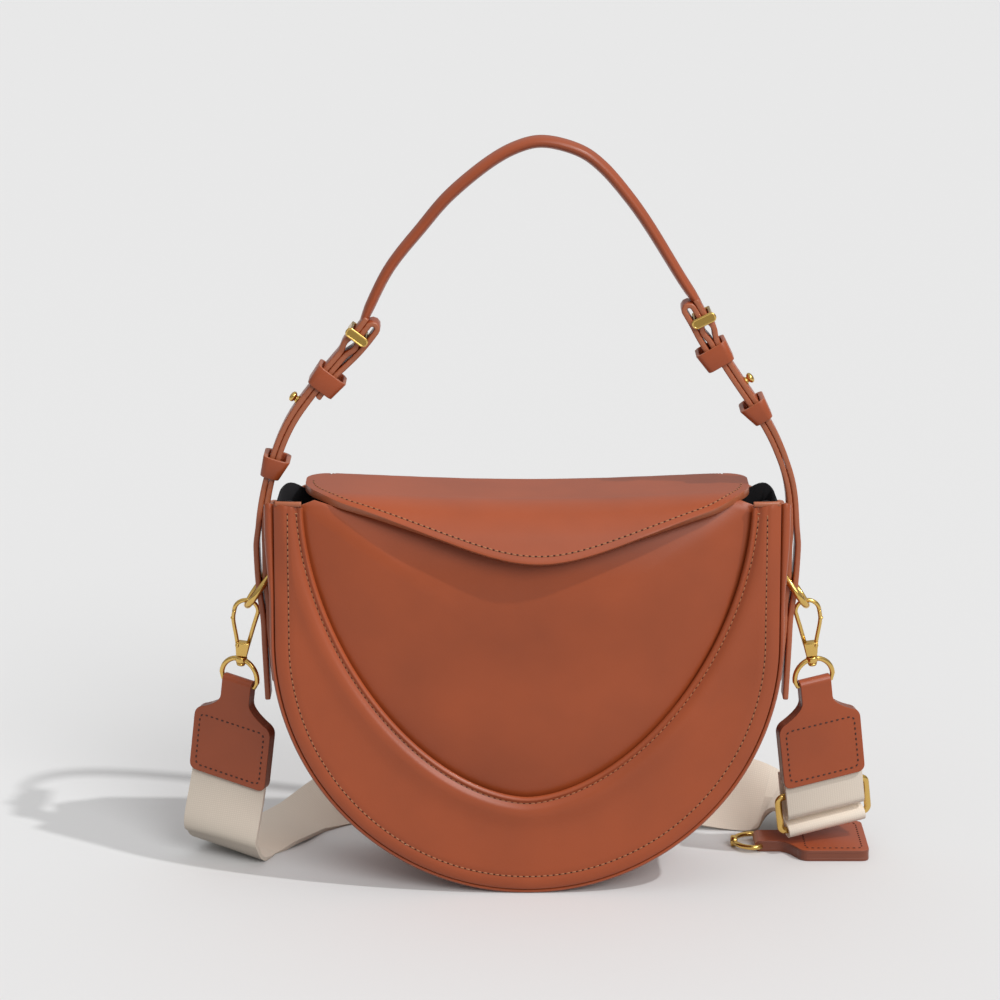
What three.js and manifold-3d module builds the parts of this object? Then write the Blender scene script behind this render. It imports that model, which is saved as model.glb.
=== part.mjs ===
// Half-moon flap shoulder bag with a buckled handle and a clip-on webbing strap.
// Millimetres, +Z up, the front faces -Y, origin on the floor under the middle of the bag.
import * as THREE from 'three';
import { mergeVertices } from 'three/addons/utils/BufferGeometryUtils.js';
import Module from 'manifold-3d';

const wasm = await Module();
wasm.setup();

// Shared clearances
const CLEAR = 0.3;
const LEATHER = 2;

// Body
const HALF_WIDTH = 113;
const HEIGHT = 180;
const ARC_HEIGHT = 116;
const FOOT_CUT = 1.2;
const DEPTH_FLOOR = 70;
const DEPTH_MOUTH = 40;
const GUSSET_BULGE = 2.3;
const GUSSET_TAPER = 60;
const BIB_HALF_WIDTH = 100;
const BIB_TOP_DROP = 2;
const BIB_TOP = HEIGHT - BIB_TOP_DROP;
const BIB_BOTTOM = 45.5;
const BIB_FULLNESS = 1.75;
const BIB_DOME = 5;
const NECKLINE_DIP = 9;
const LINING_WALL = 1;
const LINING_DROP = 6;
const LINING_TOP = HEIGHT - LINING_DROP;
const LINING_CORNER = 3;

// Flap
const FLAP_HALF_WIDTH = BIB_HALF_WIDTH;
const FLAP_LENGTH = 75;
const FLAP_TAPER = 0.42;
const FLAP_TIP_ROUND = 13;
const FLAP_CORNER = 16;
const FLAP_REAR_CORNER = 11;
const FLAP_STRAIGHT = 33;
const FLAP_BEND_RADIUS = 26;
const FLAP_BEND_ANGLE = THREE.MathUtils.degToRad(65);
const FLAP_PLY = 1.6;
const FLAP_LINING_PLY = 1.2;
const FLAP_PLY_GAP = 0.6;
const FLAP_REAR = 21;
const SNAP_RADIUS = 6;
const SNAP_THICKNESS = 2;
const SNAP_EDGE = 2;
const SNAP_SOCKET_DROP = 16;
const SNAP_SOCKET_HEIGHT = HEIGHT - SNAP_SOCKET_DROP;

// Handle straps
const STRAP_WIDTH = 12;
const STRAP = 2;
const STRAND_PITCH = 2.6;
const TAIL_LENGTH = 68;
const ANCHOR_DROP = 24;
const SLIDER_WALL = 1.8;
const SLIDER_LENGTH = 4;
const KEEPER_WALL = 1.5;
const KEEPER_LENGTH = 8;
const KEEPER_PLAY = 0.5;
const STUD_HEAD = 2.4;
const STUD_NECK = 1.2;
const STUD_STAND = 2;
const ROLL_THICKNESS = 6;
const ROLL_WIDTH = 11;

// Strap ends
const RING_BAR_X = HALF_WIDTH + GUSSET_BULGE + 2 * CLEAR;
const RING_BAR_DROP = 8;
const RING_DEPTH = 20;
const RING_TILT = THREE.MathUtils.degToRad(55);
const WIRE = 1.1;
const END_TILT = THREE.MathUtils.degToRad(7);
const END_LEAN = THREE.MathUtils.degToRad(8);
const END_TURN = { left: THREE.MathUtils.degToRad(-25), right: THREE.MathUtils.degToRad(16) };
const HOOK_INNER_HALF = 4.4;
const HOOK_INNER_LENGTH = 20;
const HOOK_WIRE = 1;
const BASE_WIDTH = 7;
const BASE_THICKNESS = 4;
const BASE_LENGTH = 7;
const GATE_PIN = 0.6;
const GATE_THICKNESS = 1.4;
const STEM = 1.2;
const HUB_RADIUS = 2.7;
const HUB_LENGTH = 3;
const EYE_HALF_WIDTH = 9.2;
const EYE_DROP = 12;
const TAB_WIDTH = 40;
const TAB_THICKNESS = 5.4;
const TAB_NECK = 15;
const TAB_NECK_LENGTH = 10;
const TAB_SHOULDER = 8;
const TAB_LENGTH = 50;
const TAB_CORNER = 4;
const WEBBING_WIDTH = 38;
const WEBBING = 1.8;
const POCKET_DEPTH = 26;
const DROP_LENGTH = 21;
const DROP_FOOT_HEIGHT = 18.107;
const LOOP_LENGTH = 14;
const LOOP_RADIUS = 4;
const LOOP_RETURN = 18;
const ADJUSTER_BAR = 2.4;
const ADJUSTER_WIDTH = 46;
const ADJUSTER_HEIGHT = 20;
const ADJUSTER_SLACK = 9;
const RING_END_LENGTH = 22;
const FLOOR_TAB_BACK = 6;
const RUN_BEHIND = 36;
const STRAP_RISE = 2.5;

// Heights up the strap end, from the hook's bow to the tab's foot, measured from the D-ring's tip.
const HOOK_TOP = WIRE + CLEAR;
const BASE_TOP = HOOK_TOP - HOOK_INNER_LENGTH;
const HUB_TOP = BASE_TOP - BASE_LENGTH - CLEAR;
const HUB_MIDDLE = HUB_TOP - HUB_LENGTH / 2;
const EYE_BAR = HUB_MIDDLE - EYE_DROP;
const TAB_BOTTOM = EYE_BAR - TAB_LENGTH;

// The strap ends hang just clear of the floor, which sets the D-rings and the handle's hinge line.
const RING_TIP_X = RING_BAR_X + RING_DEPTH * Math.cos(RING_TILT);
const RING_TIP_Z = DROP_FOOT_HEIGHT + (DROP_LENGTH - TAB_BOTTOM) * Math.cos(END_LEAN) * Math.cos(END_TILT);
const RING_BAR_Z = RING_TIP_Z + RING_DEPTH * Math.sin(RING_TILT);
const HINGE_HEIGHT = RING_BAR_Z + RING_BAR_DROP;

const { Vector2, Vector3 } = THREE;

function closedGeometry(points, faces) {
  let volume = 0;
  for (const [a, b, c] of faces) {
    volume += points[a].dot(new Vector3().crossVectors(points[b], points[c]));
  }
  const geometry = new THREE.BufferGeometry();
  const numbers = points.flatMap((p) => p.toArray());
  geometry.setAttribute('position', new THREE.Float32BufferAttribute(numbers, 3));
  geometry.setIndex(faces.flatMap((f) => (volume < 0 ? [f[0], f[2], f[1]] : f)));
  return geometry;
}

// Triangles of a flat ring, wound the way the ring runs.
function capFaces(ring) {
  const normal = new Vector3();
  ring.forEach((p, i) => normal.add(new Vector3().crossVectors(p, ring[(i + 1) % ring.length])));
  normal.normalize();
  const across = new Vector3().subVectors(ring[1], ring[0]).cross(normal).normalize();
  const along = new Vector3().crossVectors(normal, across);
  const flat = ring.map((p) => new Vector2(p.dot(across), p.dot(along)));
  return THREE.ShapeUtils.triangulateShape(flat, []).map(([a, b, c]) => {
    const toNext = new Vector2().subVectors(flat[b], flat[a]);
    const turn = toNext.cross(new Vector2().subVectors(flat[c], flat[a]));
    return turn > 0 ? [a, b, c] : [a, c, b];
  });
}

// A closed solid through rings of equal count, capped at both ends unless the rings close on themselves.
function loft(rings, closed = false) {
  const count = rings[0].length;
  const points = rings.flat();
  const faces = [];
  const spans = closed ? rings.length : rings.length - 1;
  for (let i = 0; i < spans; i += 1) {
    const a = i * count;
    const b = ((i + 1) % rings.length) * count;
    for (let j = 0; j < count; j += 1) {
      const k = (j + 1) % count;
      faces.push([a + j, b + j, b + k], [a + j, b + k, a + k]);
    }
  }
  if (!closed) {
    const last = points.length - count;
    capFaces(rings[0]).forEach((f) => faces.push(f));
    capFaces(rings.at(-1)).forEach(([a, b, c]) => faces.push([last + a, last + c, last + b]));
  }
  return closedGeometry(points, faces);
}

// A sheet with thickness: columns of points, thickened along the surface normal by two depths.
function slab(columns, front, back) {
  const normals = columns.map((column, i) => column.map((point, j) => {
    const before = columns[Math.max(i - 1, 0)][j];
    const after = columns[Math.min(i + 1, columns.length - 1)][j];
    const below = column[Math.max(j - 1, 0)];
    const above = column[Math.min(j + 1, column.length - 1)];
    const across = new Vector3().subVectors(after, before);
    const along = new Vector3().subVectors(above, below);
    return across.cross(along).normalize();
  }));
  return loft(columns.map((column, i) => {
    const upper = column.map((p, j) => p.clone().addScaledVector(normals[i][j], front));
    const lower = column.map((p, j) => p.clone().addScaledVector(normals[i][j], back));
    return [...upper, ...lower.reverse()];
  }));
}

// A plate drawn in X and Z, from yFront backwards.
function plate(outline, yFront, thickness) {
  const settings = { depth: thickness, bevelEnabled: false, curveSegments: 8 };
  const geometry = new THREE.ExtrudeGeometry(outline, settings);
  geometry.rotateX(Math.PI / 2);
  return geometry.translate(0, yFront + thickness, 0);
}

// Round wire along flat points, all in one plane with the given normal.
function wire(path, radius, planeNormal, closed = false, sides = 8) {
  const rings = path.map((p, i) => {
    const before = closed ? path.at(i - 1) : path[Math.max(i - 1, 0)];
    const after = closed ? path[(i + 1) % path.length] : path[Math.min(i + 1, path.length - 1)];
    const tangent = new Vector3().subVectors(after, before).normalize();
    const side = new Vector3().crossVectors(planeNormal, tangent);
    return Array.from({ length: sides }, (_, k) => {
      const angle = (2 * Math.PI * (k + 0.5)) / sides;
      return p.clone().addScaledVector(side, radius * Math.cos(angle))
        .addScaledVector(planeNormal, radius * Math.sin(angle));
    });
  });
  return loft(rings, closed);
}

function cylinder(radius, length, sides = 16) {
  return new THREE.CylinderGeometry(radius, radius, length, sides);
}

function toSolid(geometry) {
  const bare = geometry.clone();
  bare.deleteAttribute('normal');
  bare.deleteAttribute('uv');
  const merged = mergeVertices(bare, 1e-4);
  const vertProperties = new Float32Array(merged.attributes.position.array);
  const triVerts = new Uint32Array(merged.index.array);
  return new wasm.Manifold(new wasm.Mesh({ numProp: 3, vertProperties, triVerts }));
}

function fromSolid(solid) {
  const mesh = solid.getMesh();
  const geometry = new THREE.BufferGeometry();
  geometry.setAttribute('position', new THREE.Float32BufferAttribute(mesh.vertProperties, 3));
  geometry.setIndex(Array.from(mesh.triVerts));
  return geometry;
}

function join(first, ...others) {
  return fromSolid(others.reduce((solid, g) => solid.add(toSolid(g)), toSolid(first)));
}

function cut(first, ...others) {
  return fromSolid(others.reduce((solid, g) => solid.subtract(toSolid(g)), toSolid(first)));
}

const bag = new THREE.Group();
const FINISHES = {
  tan_leather: { color: 0xa85a3a, roughness: 0.5, metalness: 0 },
  lining: { color: 0x17161a, roughness: 0.9, metalness: 0 },
  brass: { color: 0xc9a04e, roughness: 0.25, metalness: 1 },
  webbing: { color: 0xd2c6b4, roughness: 0.9, metalness: 0 },
};

function add(name, geometry, finish, parent = bag) {
  geometry.computeVertexNormals();
  const mesh = new THREE.Mesh(geometry, new THREE.MeshStandardMaterial(FINISHES[finish]));
  mesh.name = name;
  parent.add(mesh);
  return mesh;
}

// Front and back faces lean together towards the mouth.
const frontAt = (z) => -DEPTH_FLOOR / 2 + ((DEPTH_FLOOR - DEPTH_MOUTH) / 2) * (z / HEIGHT);
const backAt = (z) => -frontAt(z);

// The U-shaped side outline, drawn in by an inset, with its foot cut flat.
function bodyOutline(inset, arcSteps = 32) {
  const half = HALF_WIDTH - inset;
  const drop = ARC_HEIGHT + FOOT_CUT - inset;
  const points = [new Vector2(-half, HEIGHT), new Vector2(-half, (HEIGHT + ARC_HEIGHT) / 2)];
  for (let i = 0; i <= arcSteps; i += 1) {
    const angle = (Math.PI * i) / arcSteps;
    const z = Math.max(ARC_HEIGHT - drop * Math.sin(angle), inset);
    points.push(new Vector2(-half * Math.cos(angle), z));
  }
  points.push(new Vector2(half, (HEIGHT + ARC_HEIGHT) / 2), new Vector2(half, HEIGHT));
  return points;
}

// The bib's edge: a full-bellied curve between its top corners, drawn in by an inset.
function bibEdge(inset, steps = 28) {
  const drop = BIB_TOP - BIB_BOTTOM - inset;
  const half = BIB_HALF_WIDTH - inset;
  return Array.from({ length: steps + 1 }, (_, i) => {
    const angle = (Math.PI * i) / steps;
    const power = 2 / BIB_FULLNESS;
    const x = -Math.sign(Math.cos(angle)) * half * Math.abs(Math.cos(angle)) ** power;
    return new Vector2(x, BIB_TOP - drop * Math.sin(angle) ** power);
  });
}

// The bib's domed face on its middle line, above the middle.
function bibFaceAt(z) {
  const middle = (BIB_TOP + BIB_BOTTOM) / 2;
  const share = (z - middle) / (BIB_TOP - NECKLINE_DIP - middle);
  return frontAt(z) - BIB_DOME * (1 - share * share);
}

function leanWithFront(geometry) {
  const position = geometry.attributes.position;
  for (let i = 0; i < position.count; i += 1) {
    position.setY(i, position.getY(i) + frontAt(position.getZ(i)));
  }
  return geometry;
}

function buildBody() {
  const bandShape = new THREE.Shape([...bodyOutline(0), ...bibEdge(0).reverse()]);
  add('front_border_band', leanWithFront(plate(bandShape, 0, LEATHER)), 'tan_leather');

  const edge = bibEdge(CLEAR);
  const neckSteps = 8;
  for (let i = 1; i < neckSteps; i += 1) {
    const share = i / neckSteps;
    const x = (BIB_HALF_WIDTH - CLEAR) * (1 - 2 * share);
    edge.push(new Vector2(x, BIB_TOP - NECKLINE_DIP * Math.sin(Math.PI * share)));
  }
  const middle = new Vector2(0, (BIB_TOP + BIB_BOTTOM) / 2);
  const bibRing = (scale, depth) => edge.map((p) => {
    const spot = new Vector2().lerpVectors(middle, p, scale);
    return new Vector3(spot.x, frontAt(spot.y) + depth, spot.y);
  });
  const domeScales = [1, 0.9, 0.7, 0.45, 0.2];
  const domeRings = domeScales.map((s) => bibRing(s, -BIB_DOME * (1 - s * s)));
  const backRings = domeScales.toReversed().map((s) => bibRing(s, LEATHER - BIB_DOME * (1 - s * s)));
  add('front_bib_panel', loft([...backRings, ...domeRings]), 'tan_leather');

  const back = plate(new THREE.Shape(bodyOutline(0)), 0, LEATHER);
  add('back_panel', leanWithFront(back).rotateZ(Math.PI), 'tan_leather');

  const outer = bodyOutline(0);
  const acrossSteps = 6;
  const gussetRings = outer.map((p, i) => {
    const before = outer[Math.max(i - 1, 0)];
    const after = outer[Math.min(i + 1, outer.length - 1)];
    const out = new Vector2(after.y - before.y, before.x - after.x).normalize();
    const bulge = GUSSET_BULGE * Math.min(1, (HEIGHT - p.y) / GUSSET_TAPER);
    const strip = (inset) => Array.from({ length: acrossSteps + 1 }, (_, k) => {
      const share = (2 * k) / acrossSteps - 1;
      const reach = bulge * (1 - share * share) - inset;
      const z = Math.max(p.y + out.y * reach, inset);
      const y = share * (backAt(p.y) - LEATHER - CLEAR);
      return new Vector3(p.x + out.x * reach, y, z);
    });
    return [...strip(0), ...strip(LEATHER).reverse()];
  });
  add('gusset', loft(gussetRings), 'tan_leather');

  const wallGap = LEATHER + 2 * CLEAR;
  const liningRing = (z, inset) => {
    const drop = Math.max(ARC_HEIGHT - z, 0) / (ARC_HEIGHT + FOOT_CUT - inset);
    const halfX = (HALF_WIDTH - inset) * Math.sqrt(1 - drop * drop);
    const halfY = backAt(z) - inset;
    const ring = [];
    for (const [sx, sy] of [[1, 1], [-1, 1], [-1, -1], [1, -1]]) {
      const start = Math.atan2(sy, sx) - Math.PI / 4;
      for (let k = 0; k <= 2; k += 1) {
        const angle = start + (k * Math.PI) / 4;
        const x = sx * (halfX - LINING_CORNER) + LINING_CORNER * Math.cos(angle);
        const y = sy * (halfY - LINING_CORNER) + LINING_CORNER * Math.sin(angle);
        ring.push(new Vector3(x, y, z));
      }
    }
    return ring;
  };
  const levelsFrom = (low) => [0, 0.02, 0.06, 0.12, 0.2, 0.32, 0.48, 0.65, 0.82, 1]
    .map((share) => low + share * (LINING_TOP - low));
  const outside = levelsFrom(wallGap + LEATHER).map((z) => liningRing(z, wallGap));
  const insideLevels = levelsFrom(wallGap + LEATHER + LINING_WALL);
  const inside = insideLevels.map((z) => liningRing(z, wallGap + LINING_WALL));
  add('lining', loft([...outside, ...inside.reverse()]), 'lining');
}

// The flap's section in Y and Z: level over the mouth, then a bend, then straight down the front.
function flapPoint(distance, depth) {
  const top = HEIGHT + CLEAR + FLAP_PLY + FLAP_PLY_GAP + FLAP_LINING_PLY;
  const bend = Math.min(Math.max((distance - FLAP_STRAIGHT) / FLAP_BEND_RADIUS, 0), FLAP_BEND_ANGLE);
  const level = Math.min(distance, FLAP_STRAIGHT);
  const fall = Math.max(distance - FLAP_STRAIGHT - FLAP_BEND_RADIUS * FLAP_BEND_ANGLE, 0);
  const radius = FLAP_BEND_RADIUS - depth;
  const y = FLAP_REAR - level - radius * Math.sin(bend) - fall * Math.cos(bend);
  const z = top - FLAP_BEND_RADIUS + radius * Math.cos(bend) - fall * Math.sin(bend);
  return new Vector2(y, z);
}

function flapLength(x) {
  const reach = FLAP_LENGTH - Math.hypot(FLAP_TAPER * x, FLAP_TIP_ROUND) + FLAP_TIP_ROUND;
  const past = Math.max(Math.abs(x) - (FLAP_HALF_WIDTH - FLAP_CORNER), 0);
  return reach - FLAP_CORNER + Math.sqrt(FLAP_CORNER ** 2 - past ** 2);
}

// How far the rear edge is set in at the rounded rear corners.
function flapStart(x) {
  const past = Math.max(Math.abs(x) - (FLAP_HALF_WIDTH - FLAP_REAR_CORNER), 0);
  return FLAP_REAR_CORNER - Math.sqrt(FLAP_REAR_CORNER ** 2 - past ** 2);
}

function buildFlap() {
  const halfShares = [0.08, 0.2, 0.4, 0.6, 0.8, 0.9, 0.94, 0.97, 0.985, 0.995];
  const columnShares = [...halfShares.toReversed().map((share) => -share), 0, ...halfShares];
  const rowSteps = 12;
  const ply = (depth, thickness) => loft(columnShares.map((share) => {
    const x = share * FLAP_HALF_WIDTH;
    const row = (d) => Array.from({ length: rowSteps + 1 }, (_, k) => {
      const spot = flapPoint(flapStart(x) + ((flapLength(x) - flapStart(x)) * k) / rowSteps, d);
      return new Vector3(x, spot.x, spot.y);
    });
    return [...row(depth), ...row(depth + thickness).reverse()];
  }));
  const liningDepth = FLAP_PLY + FLAP_PLY_GAP;
  add('flap_outer', ply(0, FLAP_PLY), 'tan_leather');
  add('flap_lining', ply(liningDepth, FLAP_LINING_PLY), 'tan_leather');

  const studDepth = liningDepth + FLAP_LINING_PLY + 2 * CLEAR + SNAP_THICKNESS / 2;
  const studAt = flapPoint(FLAP_LENGTH - SNAP_RADIUS - SNAP_EDGE, studDepth);
  const stud = cylinder(SNAP_RADIUS, SNAP_THICKNESS).rotateX(FLAP_BEND_ANGLE - Math.PI / 2);
  add('magnet_snap_stud', stud.translate(0, studAt.x, studAt.y), 'brass');

  const low = SNAP_SOCKET_HEIGHT - SNAP_RADIUS;
  const high = SNAP_SOCKET_HEIGHT + SNAP_RADIUS;
  const lean = Math.atan2(bibFaceAt(high) - bibFaceAt(low), high - low);
  const stand = SNAP_THICKNESS / 2 + 2 * CLEAR;
  const socket = cylinder(SNAP_RADIUS, SNAP_THICKNESS).rotateX(-lean);
  const socketY = bibFaceAt(SNAP_SOCKET_HEIGHT) - stand * Math.cos(lean);
  socket.translate(0, socketY, SNAP_SOCKET_HEIGHT + stand * Math.sin(lean));
  add('magnet_snap_socket', socket, 'brass');
}

// Strap routes in X and Z for the line midway between the two strands, from the hinge up to the slider.
const STRAND_START = HALF_WIDTH + GUSSET_BULGE + STRAP + STRAND_PITCH - CLEAR;
const MOUTH_LEVEL = (HINGE_HEIGHT + HEIGHT) / 2;
const STRAND_ROUTES = {
  left: [
    [STRAND_START, HINGE_HEIGHT], [STRAND_START - 0.4, MOUTH_LEVEL + 4.5], [HALF_WIDTH + 1.3, HEIGHT + 12.3],
    [HALF_WIDTH - 7.2, HEIGHT + 33.1], [HALF_WIDTH - 21.5, HEIGHT + 53], [HALF_WIDTH - 31.7, HEIGHT + 65.4],
    [HALF_WIDTH - 37.6, HEIGHT + 73], [HALF_WIDTH - 41.4, HEIGHT + 78],
  ],
  right: [
    [STRAND_START, HINGE_HEIGHT], [STRAND_START + 0.4, MOUTH_LEVEL + 2.5], [HALF_WIDTH + 4.8, HEIGHT + 6],
    [HALF_WIDTH - 1.7, HEIGHT + 23.9], [HALF_WIDTH - 10.1, HEIGHT + 38.7], [HALF_WIDTH - 20, HEIGHT + 53.3],
    [HALF_WIDTH - 28.4, HEIGHT + 66.5], [HALF_WIDTH - 35.4, HEIGHT + 81.1],
    [HALF_WIDTH - 38.5, HEIGHT + 86.3],
  ],
};
const KEEPER_SHARES = { left: { lower: 0.346, upper: 0.736 }, right: { lower: 0.561, upper: 0.809 } };
const STUD_SHARES = { left: 0.613, right: 0.667 };
const RETURN_SHARES = { left: 0.67, right: 0.74 };
const ROLL_ARCH = [
  [-61.8, 101.4], [-46.7, 120.8], [-34.5, 135], [-17.9, 148.9], [-4.7, 156.4], [7.4, 158.8],
  [22.5, 154.9], [33.1, 147.4], [44.2, 134.6], [54, 120.8], [68.6, 97.2],
].map(([x, rise]) => [x, HEIGHT + rise]);
const SIDES = { left: -1, right: 1 };

// A flat curve through hand-picked points, with its offset lines.
function route(points, steps) {
  const curve = new THREE.SplineCurve(points.map(([x, z]) => new Vector2(x, z)));
  const spots = curve.getSpacedPoints(steps);
  const offset = (distance, from = 0, to = 1) => {
    const line = [];
    for (let i = Math.round(from * steps); i <= Math.round(to * steps); i += 1) {
      const tangent = curve.getTangentAt(i / steps);
      line.push(new Vector2(spots[i].x + tangent.y * distance, spots[i].y - tangent.x * distance));
    }
    return line;
  };
  const at = (share) => ({ spot: curve.getPointAt(share), tangent: curve.getTangentAt(share) });
  return { offset, at };
}

// Thickens a flat line by the same amount each side.
function thickLine(line, thickness) {
  const side = (distance) => line.map((p, i) => {
    const before = line[Math.max(i - 1, 0)];
    const after = line[Math.min(i + 1, line.length - 1)];
    const tangent = new Vector2().subVectors(after, before).normalize();
    return new Vector2(p.x + tangent.y * distance, p.y - tangent.x * distance);
  });
  return new THREE.Shape([...side(thickness / 2), ...side(-thickness / 2).reverse()]);
}

function strapPlate(line) {
  return plate(thickLine(line, STRAP), -STRAP_WIDTH / 2, STRAP_WIDTH);
}

function mirrorX(geometry, sign) {
  if (sign > 0) {
    return geometry;
  }
  const flipped = mergeVertices(geometry.scale(-1, 1, 1));
  const index = flipped.index.array;
  for (let i = 0; i < index.length; i += 3) {
    [index[i + 1], index[i + 2]] = [index[i + 2], index[i + 1]];
  }
  return flipped;
}

// A rectangular loop round the strands, in a frame where Z runs along the strap and X across it.
function strandLoop(outside, inside, wall, length, halfWidth) {
  const middle = (outside + inside) / 2;
  const across = outside - inside;
  const block = new THREE.BoxGeometry(across + 2 * wall, 2 * (halfWidth + wall), length);
  const hole = new THREE.BoxGeometry(across, 2 * halfWidth, 2 * length);
  return cut(block.translate(middle, 0, 0), hole.translate(middle, 0, 0));
}

function placeOnRoute(geometry, { spot, tangent }) {
  return geometry.rotateY(Math.atan2(tangent.x, tangent.y)).translate(spot.x, 0, spot.y);
}

function buildHandleSide(side) {
  const sign = SIDES[side];
  const steps = 24;
  const strands = route(STRAND_ROUTES[side], steps);
  const pitch = STRAND_PITCH / 2;
  const stackHalf = pitch + STRAP / 2;
  const place = (name, geometry, finish) => add(name + '_' + side, mirrorX(geometry, sign), finish);

  const top = strands.at(1);
  const outerLine = strands.offset(pitch);
  outerLine.push(outerLine.at(-1).clone().addScaledVector(top.tangent, STRAP_RISE));
  const outer = outerLine[0].x;
  const inner = outer - STRAND_PITCH;
  const disc = () => cylinder(STRAP_WIDTH / 2, STRAP).rotateZ(Math.PI / 2);
  const pivotDisc = (x) => disc().translate(x, 0, HINGE_HEIGHT);
  place('handle_strap', join(strapPlate(outerLine), pivotDisc(outer)), 'tan_leather');

  const sliderShare = 0.95;
  const innerBar = stackHalf + CLEAR + SLIDER_WALL;
  const returnOffset = -(innerBar + CLEAR + STRAP / 2);
  const rise = strands.offset(-pitch);
  const fall = strands.offset(returnOffset, RETURN_SHARES[side], 1).reverse();
  const loopRadius = (-returnOffset - pitch) / 2;
  const loopMiddle = new Vector2(top.spot.x - top.tangent.y * (pitch + loopRadius),
    top.spot.y + top.tangent.x * (pitch + loopRadius));
  const startAngle = Math.atan2(-top.tangent.x, top.tangent.y);
  const turn = [];
  const turnSteps = 8;
  for (let i = 1; i < turnSteps; i += 1) {
    const angle = startAngle + (Math.PI * i) / turnSteps;
    const swing = new Vector2(Math.cos(angle), Math.sin(angle));
    turn.push(loopMiddle.clone().addScaledVector(swing, loopRadius));
  }
  place('anchor_strap', join(strapPlate([...rise, ...turn, ...fall]), pivotDisc(inner)), 'tan_leather');

  const sliderInside = stackHalf + CLEAR;
  const sliderHalf = STRAP_WIDTH / 2 + CLEAR;
  const slider = strandLoop(sliderInside, -sliderInside, SLIDER_WALL, SLIDER_LENGTH, sliderHalf);
  place('slider', placeOnRoute(slider, strands.at(sliderShare)), 'brass');

  const keeperInside = { lower: -stackHalf, upper: returnOffset - STRAP / 2 };
  for (const level of ['lower', 'upper']) {
    const keeper = strandLoop(stackHalf + KEEPER_PLAY, keeperInside[level] - KEEPER_PLAY, KEEPER_WALL,
      KEEPER_LENGTH, STRAP_WIDTH / 2 + KEEPER_PLAY);
    place('keeper_' + level, placeOnRoute(keeper, strands.at(KEEPER_SHARES[side][level])), 'tan_leather');
  }

  const profile = [[0, 0], [STUD_NECK, 0], [STUD_NECK, STUD_STAND], [STUD_HEAD, STUD_STAND + 1],
    [STUD_NECK, STUD_STAND + STUD_HEAD], [0, STUD_STAND + STUD_HEAD + CLEAR]];
  const stud = new THREE.LatheGeometry(profile.map(([r, h]) => new Vector2(r, h)), 12);
  stud.rotateZ(-Math.PI / 2).translate(stackHalf + CLEAR, 0, 0);
  place('stud', placeOnRoute(stud, strands.at(STUD_SHARES[side])), 'brass');

  const hingeGap = STRAP_WIDTH / 2;
  const tailTop = HINGE_HEIGHT - hingeGap - CLEAR;
  const gussetOut = HALF_WIDTH + GUSSET_BULGE + 2 * CLEAR + STRAP / 2;
  const tailX = gussetOut + STRAP + CLEAR;
  const ringGap = RING_BAR_Z - hingeGap;
  const tail = [[outer, tailTop], [outer, ringGap], [tailX + 0.5, ringGap - 15], [tailX, ringGap - 29],
    [tailX - 1, HINGE_HEIGHT - TAIL_LENGTH]];
  const sewnX = gussetOut * Math.cos(Math.asin(ANCHOR_DROP / (ARC_HEIGHT + FOOT_CUT + GUSSET_BULGE)));
  const sewnTop = RING_BAR_Z - hingeGap / 2;
  const sewn = [[inner, tailTop], [inner, sewnTop], [gussetOut + CLEAR, (sewnTop + ARC_HEIGHT) / 2],
    [gussetOut, ARC_HEIGHT], [sewnX + CLEAR, ARC_HEIGHT - ANCHOR_DROP]];
  place('handle_tail', strapPlate(route(tail, 12).offset(0)), 'tan_leather');
  place('anchor_end', strapPlate(route(sewn, 12).offset(0)), 'tan_leather');

  const rollEnd = outerLine.at(-1).clone().addScaledVector(top.tangent, CLEAR);
  return [sign * rollEnd.x, rollEnd.y];
}

function buildHandle() {
  const leftEnd = buildHandleSide('left');
  const rightEnd = buildHandleSide('right');
  const curve = route([leftEnd, ...ROLL_ARCH, rightEnd], 40);
  const middle = curve.offset(0);
  const sides = 10;
  const rings = middle.map((p, i) => {
    const { tangent } = curve.at(i / (middle.length - 1));
    const fromEnd = Math.min(i, middle.length - 1 - i) / 3;
    const half = (STRAP + (ROLL_THICKNESS - STRAP) * Math.min(fromEnd, 1)) / 2;
    return Array.from({ length: sides }, (_, k) => {
      const angle = (2 * Math.PI * k) / sides;
      const out = half * Math.cos(angle);
      return new Vector3(p.x + tangent.y * out, (ROLL_WIDTH / 2) * Math.sin(angle), p.y - tangent.x * out);
    });
  });
  add('handle_roll', loft(rings), 'tan_leather');
}

// One strap end hangs in a group whose origin is the D-ring's tip and whose -Z runs down the hook.
const FLAT = new Vector3(0, 1, 0);

// A D outline: a straight bar, two legs and a round end, in a plane's own two directions.
function dPath(halfWidth, depth, place) {
  const points = [];
  const legs = Math.max(depth - halfWidth, 1);
  const roundDepth = depth - legs;
  for (const share of [-0.9, 0, 0.9]) {
    points.push(place(share * halfWidth, 0));
  }
  const roundSteps = 10;
  for (let i = 0; i <= roundSteps; i += 1) {
    const angle = (Math.PI * i) / roundSteps;
    points.push(place(halfWidth * Math.cos(angle), legs + roundDepth * Math.sin(angle)));
  }
  return points;
}

function buildDRing(side) {
  const sign = SIDES[side];
  const half = STRAP_WIDTH / 2 + 1 + WIRE;
  const out = new Vector3(sign * Math.cos(RING_TILT), 0, -Math.sin(RING_TILT));
  const bar = new Vector3(sign * RING_BAR_X, 0, RING_BAR_Z);
  const path = dPath(half, RING_DEPTH, (y, d) => bar.clone().addScaledVector(out, d).setY(y));
  const normal = new Vector3().crossVectors(out, FLAT).normalize();
  add('d_ring_' + side, wire(path, WIRE, normal, true), 'brass');
}

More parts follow.
